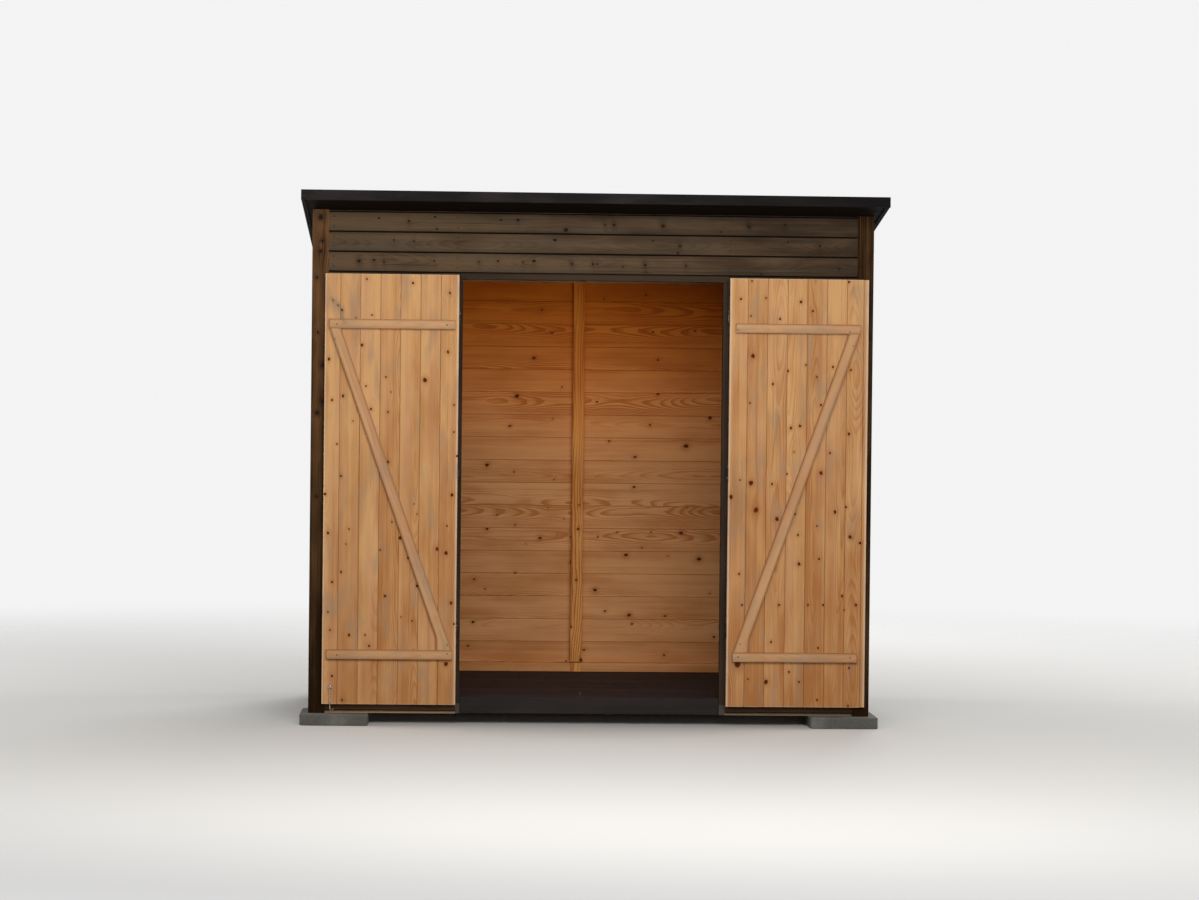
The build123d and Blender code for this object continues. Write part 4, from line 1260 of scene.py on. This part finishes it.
screws = {}
for side, word in ((-1, "left"), (1, "right")):
    low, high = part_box(f"{word}_door_boards")
    foot, inner_face = low.z, low.y
    hinge_edge = min(abs(low.x), abs(high.x))
    width = high.x - low.x
    edges = joints(0.0, width, front_cover, hinge_board, lip_width + 0.006)
    place = door_place(side, hinge_edge, foot, inner_face)

    def to_door(x, z, foot=foot, hinge_edge=hinge_edge):
        """A place on the front in the door's own measures: up from its foot, across from its hinged edge."""
        return z - foot, abs(x) - hinge_edge

    door_pine = door_finish(f"{word}_door_pine", door_early, door_late, door_blush,
                            ring_width=0.0032, contrast=0.28, mottle=0.9)
    door_boards = boarded(
        f"{word}_door_planks", [f"{word}_door_boards"], f"{word}_door", "door_pine", edges, (0.0, high.z - foot),
        board_thickness, place, [door_pine, cladding_stain], seed=72 + side,
        knots=knots_seen(door_knots_seen[word], inner_face, to_door), step=0.009, along_step=0.009, spread=0.17,
        highlit_edges=True, tone=lambda low, u: door_side_shade[side] + door_foot_shade[side] * (1 - u / door_shade_height),
        sections={len(edges) - 2: rebated_section if side < 0 else lapped_section}, knot_finish=pine_knot)

    low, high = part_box(f"{word}_door_ledges")
    ledge_face, ledge_feet = low.y, (low.z, high.z - ledge_high)
    ledge_pine = door_finish(f"{word}_ledge_pine", ledge_early, ledge_late, ledge_blush,
                             ring_width=0.0040, contrast=0.12, mottle=0.8)
    shape = new_shape()
    for ledge_foot, tone in zip(ledge_feet, (0.32, 0.15)):
        timber(shape, ledge_high, high.y - low.y, high.x - low.x,
               lambda u, v, w: np.stack((low.x + u, low.y + w, ledge_foot + v), -1), 75 + side, tone,
               arris=ledge_arris, rim=ledge_edge_dirt_and_shade)
    ledges = shape_piece(f"{word}_ledge_boards", shape, [ledge_pine], f"{word}_door", "door_pine",
                         [f"{word}_door_ledges"])

    shape = new_shape()
    columns = [(left + right) / 2 + aside for left, right in zip(edges[:-1], edges[1:])
               for aside in (-ledge_nail_columns, ledge_nail_columns)]
    nailed(shape, place, [(ledge_foot + ledge_high / 2 - foot, column, nail_radius) for ledge_foot in ledge_feet
                          for column in columns if column < width - ledge_nail_edge])
    spot_piece(f"{word}_door_nails", shape, dark_nails, f"{word}_door", "zinc_steel")

    low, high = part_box(f"{word}_door_brace")
    rise, reach = high.z - low.z, high.x - low.x
    level_width = brace_width * (rise * math.sqrt(rise**2 + reach**2 - brace_width**2) - brace_width * reach)
    level_width /= rise**2 - brace_width**2
    inner_x = min(abs(low.x), abs(high.x))

    def brace_place(u, v, w, side=side, low=low, inner_x=inner_x, lean=(reach - level_width) / rise, full=level_width):
        """Brace: up Z, across X from its hinged side, leaning out as it climbs, and back from its face.

        Near its foot the free side stands upright, so the foot is wider there.
        """
        upright = v / full * lean * np.maximum(brace_foot - u, 0)
        return np.stack((side * (inner_x + v + lean * u + upright), low.y + w, low.z + u), -1)

    shape = new_shape()
    timber(shape, level_width, high.y - low.y, rise, brace_place, 77 + side, 0.2, arris=ledge_arris, rim=ledge_edge_dirt_and_shade)
    brace = shape_piece(f"{word}_brace_board", shape, [ledge_pine], f"{word}_door", "door_pine",
                        [f"{word}_door_brace"])
    if side < 0:
        corners = np.array([seen_at(*spot, inner_face) for spot in streak_seen])
        for piece in (door_boards, ledges, brace):
            streak_on(piece, corners, streak_width)

    screws[word] = new_shape()
    fixings = knots_seen([(*spot, 1000 * screw_radius) for spot in door_screws_seen[word]], ledge_face, to_door)
    spots(screws[word], door_place(side, hinge_edge, foot, ledge_face), fixings, 0, -1, screw_profile, 16)


# Ironwork: nails darkened by the stain, butt hinges made dark with small bright spots as painted shade and painted
# glints, and a bright wire cabin hook with its two screw eyes.
# Zinc plating is dull and slightly clouded, with grey rubbed spots.
zinc_colour = (0.62, 0.62, 0.61, 1)
zinc_dull = (0.13, 0.12, 0.11, 1)
# Painted shade and glints: the hinges are dark for the shade in their gap, with small bright spots for glints.
hinge_glint = (0.220, 0.190, 0.170, 1)
hinge_shaded_dull = (0.020, 0.015, 0.012, 1)
screw_colour = (0.26, 0.160, 0.090, 1)
screw_dull = (0.09, 0.050, 0.028, 1)
wire_radius = 0.00175
wire_sides = 12
eye_radius = 0.007
eye_stand = 0.012
eye_turn = (4, 348)
hook_loop_turn = (10, 352)
hook_loop_radius = 0.0055
hook_bend_radius = 0.007
hook_bend = 200.0
hook_reach = 0.095


def plated(name, bright, dull, smoothest, worn=(0.35, 0.70)):
    """Plated steel: bright where the clouds of a noise are low, and dull past the worn range."""
    made, tree, shader = new_material(name, Metallic=1.0)
    cloud = grain_noise(tree, object_place(tree), (140, 140, 140), 3)
    tree.links.new(blend_colour(tree, ease(tree, cloud, *worn), bright, dull), shader.inputs["Base Color"])
    tree.links.new(calc(tree, "MULTIPLY_ADD", cloud, 0.35, smoothest), shader.inputs["Roughness"])
    relief(tree, shader, cloud, 0.0001)
    return made


def wire(shape, path, axis, radius, taper=0):
    """Round wire along a flat path: a circle carried at right angles to it, rounded off over its last steps.

    axis is the direction at right angles to the path's plane.
    """
    path, axis = np.asarray(path, float), np.asarray(axis, float)
    run = np.gradient(path, axis=0)
    run /= np.linalg.norm(run, axis=1, keepdims=True)
    side = np.cross(axis, run)
    turn = np.linspace(0, 2 * math.pi, wire_sides, endpoint=False)[None, :, None]
    size = np.full(len(path), radius)
    if taper:
        size[-taper:] *= np.sqrt(1 - np.linspace(0, 0.98, taper) ** 2)
    ring = np.cos(turn) * side[:, None] + np.sin(turn) * axis[None, None]
    points = path[:, None] + size[:, None, None] * ring
    start = sum(len(p) for p in shape["points"])
    shape["points"].append(points.reshape(-1, 3))
    shape["quads"].append(grid_faces(len(path), wire_sides, close_columns=True) + start)
    last = start + wire_sides * (len(path) - 1)
    shape["caps"] += [list(range(first, first + wire_sides)) for first in (start, last)]


def circle(centre, first, second, radius, low, high, steps):
    """Points round a centre between two angles, in the plane of two directions."""
    turn = np.radians(np.linspace(low, high, steps))[:, None]
    return np.asarray(centre) + radius * (np.cos(turn) * np.asarray(first) + np.sin(turn) * np.asarray(second))


def wire_piece(name, shape, body, node_name):
    """Join gathered wires into one piece."""
    shape_piece(name, shape, [zinc_plate], body, "zinc_steel", [node_name], smooth=True)


zinc_plate = plated("zinc", zinc_colour, zinc_dull, 0.18, (0.35, 0.60))
hinge_plate = plated("hinge_steel", hinge_glint, hinge_shaded_dull, 0.40, (0.28, 0.46))
screw_plate = plated("screw_steel", screw_colour, screw_dull, 0.45)
for word in ("left", "right"):
    for part in ("frame_leaves", "door_leaves"):
        dress(f"{word}_hinge_{part}", hinge_plate)
    spot_piece(f"{word}_door_screws", screws[word], screw_plate, f"{word}_door", "zinc_steel")
spot_piece("roof_clout_nails", clouts, zinc_plate, "store", "zinc_steel")


def screw_eye(name, body, node_name, centre, shank):
    """Screw eye: a ring about X that doesn't quite close, and a shank to what it is screwed into."""
    shape = new_shape()
    shank = np.array(shank, float)
    aside = np.cross((1, 0, 0), shank)
    wire(shape, circle(centre, shank, aside, eye_radius, *eye_turn, 44), (1, 0, 0), wire_radius)
    foot = np.linspace(eye_radius - wire_radius, eye_stand, 6)[:, None]
    wire(shape, np.asarray(centre) + foot * shank, (1, 0, 0), wire_radius)
    wire_piece(name, shape, body, node_name)


low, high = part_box("hook_eye")
eye_centre = ((low.x + high.x) / 2, high.y - eye_stand, (low.z + high.z) / 2)
screw_eye("door_screw_eye", "left_door", "hook_eye", eye_centre, (0, 1, 0))
low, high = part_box("hook_keeper")
screw_eye("floor_screw_eye", "store", "hook_keeper", ((low.x + high.x) / 2, (low.y + high.y) / 2, low.z + eye_stand),
          (0, 0, -1))

low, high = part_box("hook")
hook_x, hook_y = eye_centre[0], (low.y + high.y) / 2
# The carried-over hook's wire is six-sided, so its box ends at the flats below the bend.
pivot_z = low.z + wire_radius * math.cos(math.pi / 6) + hook_bend_radius + hook_reach
shape = new_shape()
loop_centre = (hook_x, hook_y, pivot_z - hook_loop_radius)
loop = circle(loop_centre, (0, 0, -1), (1, 0, 0), hook_loop_radius, *hook_loop_turn, 40)
wire(shape, loop, (0, 1, 0), wire_radius)
straight = [(hook_x, hook_y, z) for z in np.linspace(pivot_z - 2 * hook_loop_radius, pivot_z - hook_reach, 24)]
bend = circle((hook_x + hook_bend_radius, hook_y, pivot_z - hook_reach), (-1, 0, 0), (0, 0, -1),
              hook_bend_radius, 0, hook_bend, 30)
wire(shape, np.concatenate((straight, bend[1:])), (0, 1, 0), wire_radius, taper=5)
wire_piece("cabin_hook", shape, "hook", "hook")


# Studio: a plain pale floor that fades into the pale world, soft lamps and the photograph's camera.
# Only the camera sees the floor and world as pale, so they don't light the store from below.
floor_seen = (0.74, 0.73, 0.71, 1)
floor_lit = (0.16, 0.150, 0.130, 1)
world_light = 0.10
world_seen = 0.90
floor_reach = 14.0
floor_fade = (2.2, 8.5)
lamps = {
    "key_left": ((-0.8, -4.9, 2.7), (0.0, -0.7, 1.5), (3.8, 2.0), 86.0, (1.0, 0.97, 0.93)),
    "key_right": ((0.7, -5.4, 2.5), (0.0, -0.7, 1.4), (3.6, 2.0), 84.0, (1.0, 0.98, 0.95)),
    "low": ((1.5, -8.2, 0.8), (0.0, 0.5, 1.7), (3.4, 0.8), 82.0, (1.0, 0.98, 0.94)),
    "rear": ((1.5, 7.0, 4.5), (0.0, 0.7, 1.2), (4.0, 3.0), 330.0, (1.0, 1.0, 1.0)),
    "left_side": ((-7.0, 0.8, 3.5), (-1.0, 0.0, 1.2), (4.0, 3.0), 220.0, (1.0, 1.0, 1.0)),
    "right_side": ((7.0, 0.8, 3.5), (1.0, 0.0, 1.2), (4.0, 3.0), 220.0, (1.0, 1.0, 1.0)),
}


def seen_or_lit(tree):
    """1 for what a camera, mirror or glass ray sees, and 0 for what lights the scene."""
    path = shader_node(tree, "ShaderNodeLightPath").outputs
    seen = calc(tree, "MAXIMUM", path["Is Camera Ray"], path["Is Glossy Ray"])
    return calc(tree, "MAXIMUM", seen, path["Is Transmission Ray"])


world = bpy.data.worlds.new("studio")
bpy.context.scene.world = world
world.use_nodes = True
sky = world.node_tree.nodes["Background"]
level = shader_node(world.node_tree, "ShaderNodeMapRange",
                    {0: seen_or_lit(world.node_tree), 3: world_light, 4: world_seen})
world.node_tree.links.new(level.outputs[0], sky.inputs["Strength"])
sky.inputs["Color"].default_value = (1, 1, 1, 1)

floor = linked("studio_floor", bpy.data.meshes.new("studio_floor"))
floor_corners = [(x * floor_reach, y * floor_reach, 0) for x, y in ((-1, -1), (1, -1), (1, 1), (-1, 1))]
floor.data.from_pydata(floor_corners, [], [(0, 1, 2, 3)])
floor_finish, tree, shader = new_material("studio_floor", Roughness=0.9, Specular_IOR_Level=0.1)
tree.links.new(blend_colour(tree, seen_or_lit(tree), floor_lit, floor_seen), shader.inputs["Base Color"])
far = shader_node(tree, "ShaderNodeVectorMath", {0: object_place(tree)}, operation="LENGTH").outputs["Value"]
clear = shader_node(tree, "ShaderNodeBsdfTransparent").outputs[0]
fade = shader_node(tree, "ShaderNodeMixShader", {0: ease(tree, far, *floor_fade), 1: shader.outputs[0], 2: clear})
tree.links.new(fade.outputs[0], tree.nodes["Material Output"].inputs["Surface"])
floor.data.materials.append(floor_finish)

for name, (place, aim, size, power, colour) in lamps.items():
    data = bpy.data.lights.new(name, "AREA")
    data.shape, data.size, data.size_y = "RECTANGLE", *size
    data.energy, data.color = power, colour
    lamp = linked(name, data)
    lamp.location = place
    lamp.rotation_euler = (Vector(aim) - Vector(place)).to_track_quat("-Z", "Y").to_euler()

camera = linked("camera", bpy.data.cameras.new("camera"))
camera.data.sensor_width = 36.0
camera.data.lens = focal_pixels / photo_size[0] * camera.data.sensor_width
camera.data.clip_end = 200.0
turned = Matrix((camera_right, camera_up, -ahead)).transposed().to_4x4()
camera.matrix_world = Matrix.Translation(Vector(camera_place)) @ turned
bpy.context.scene.camera = camera
bpy.context.scene.view_settings.view_transform = "Standard"
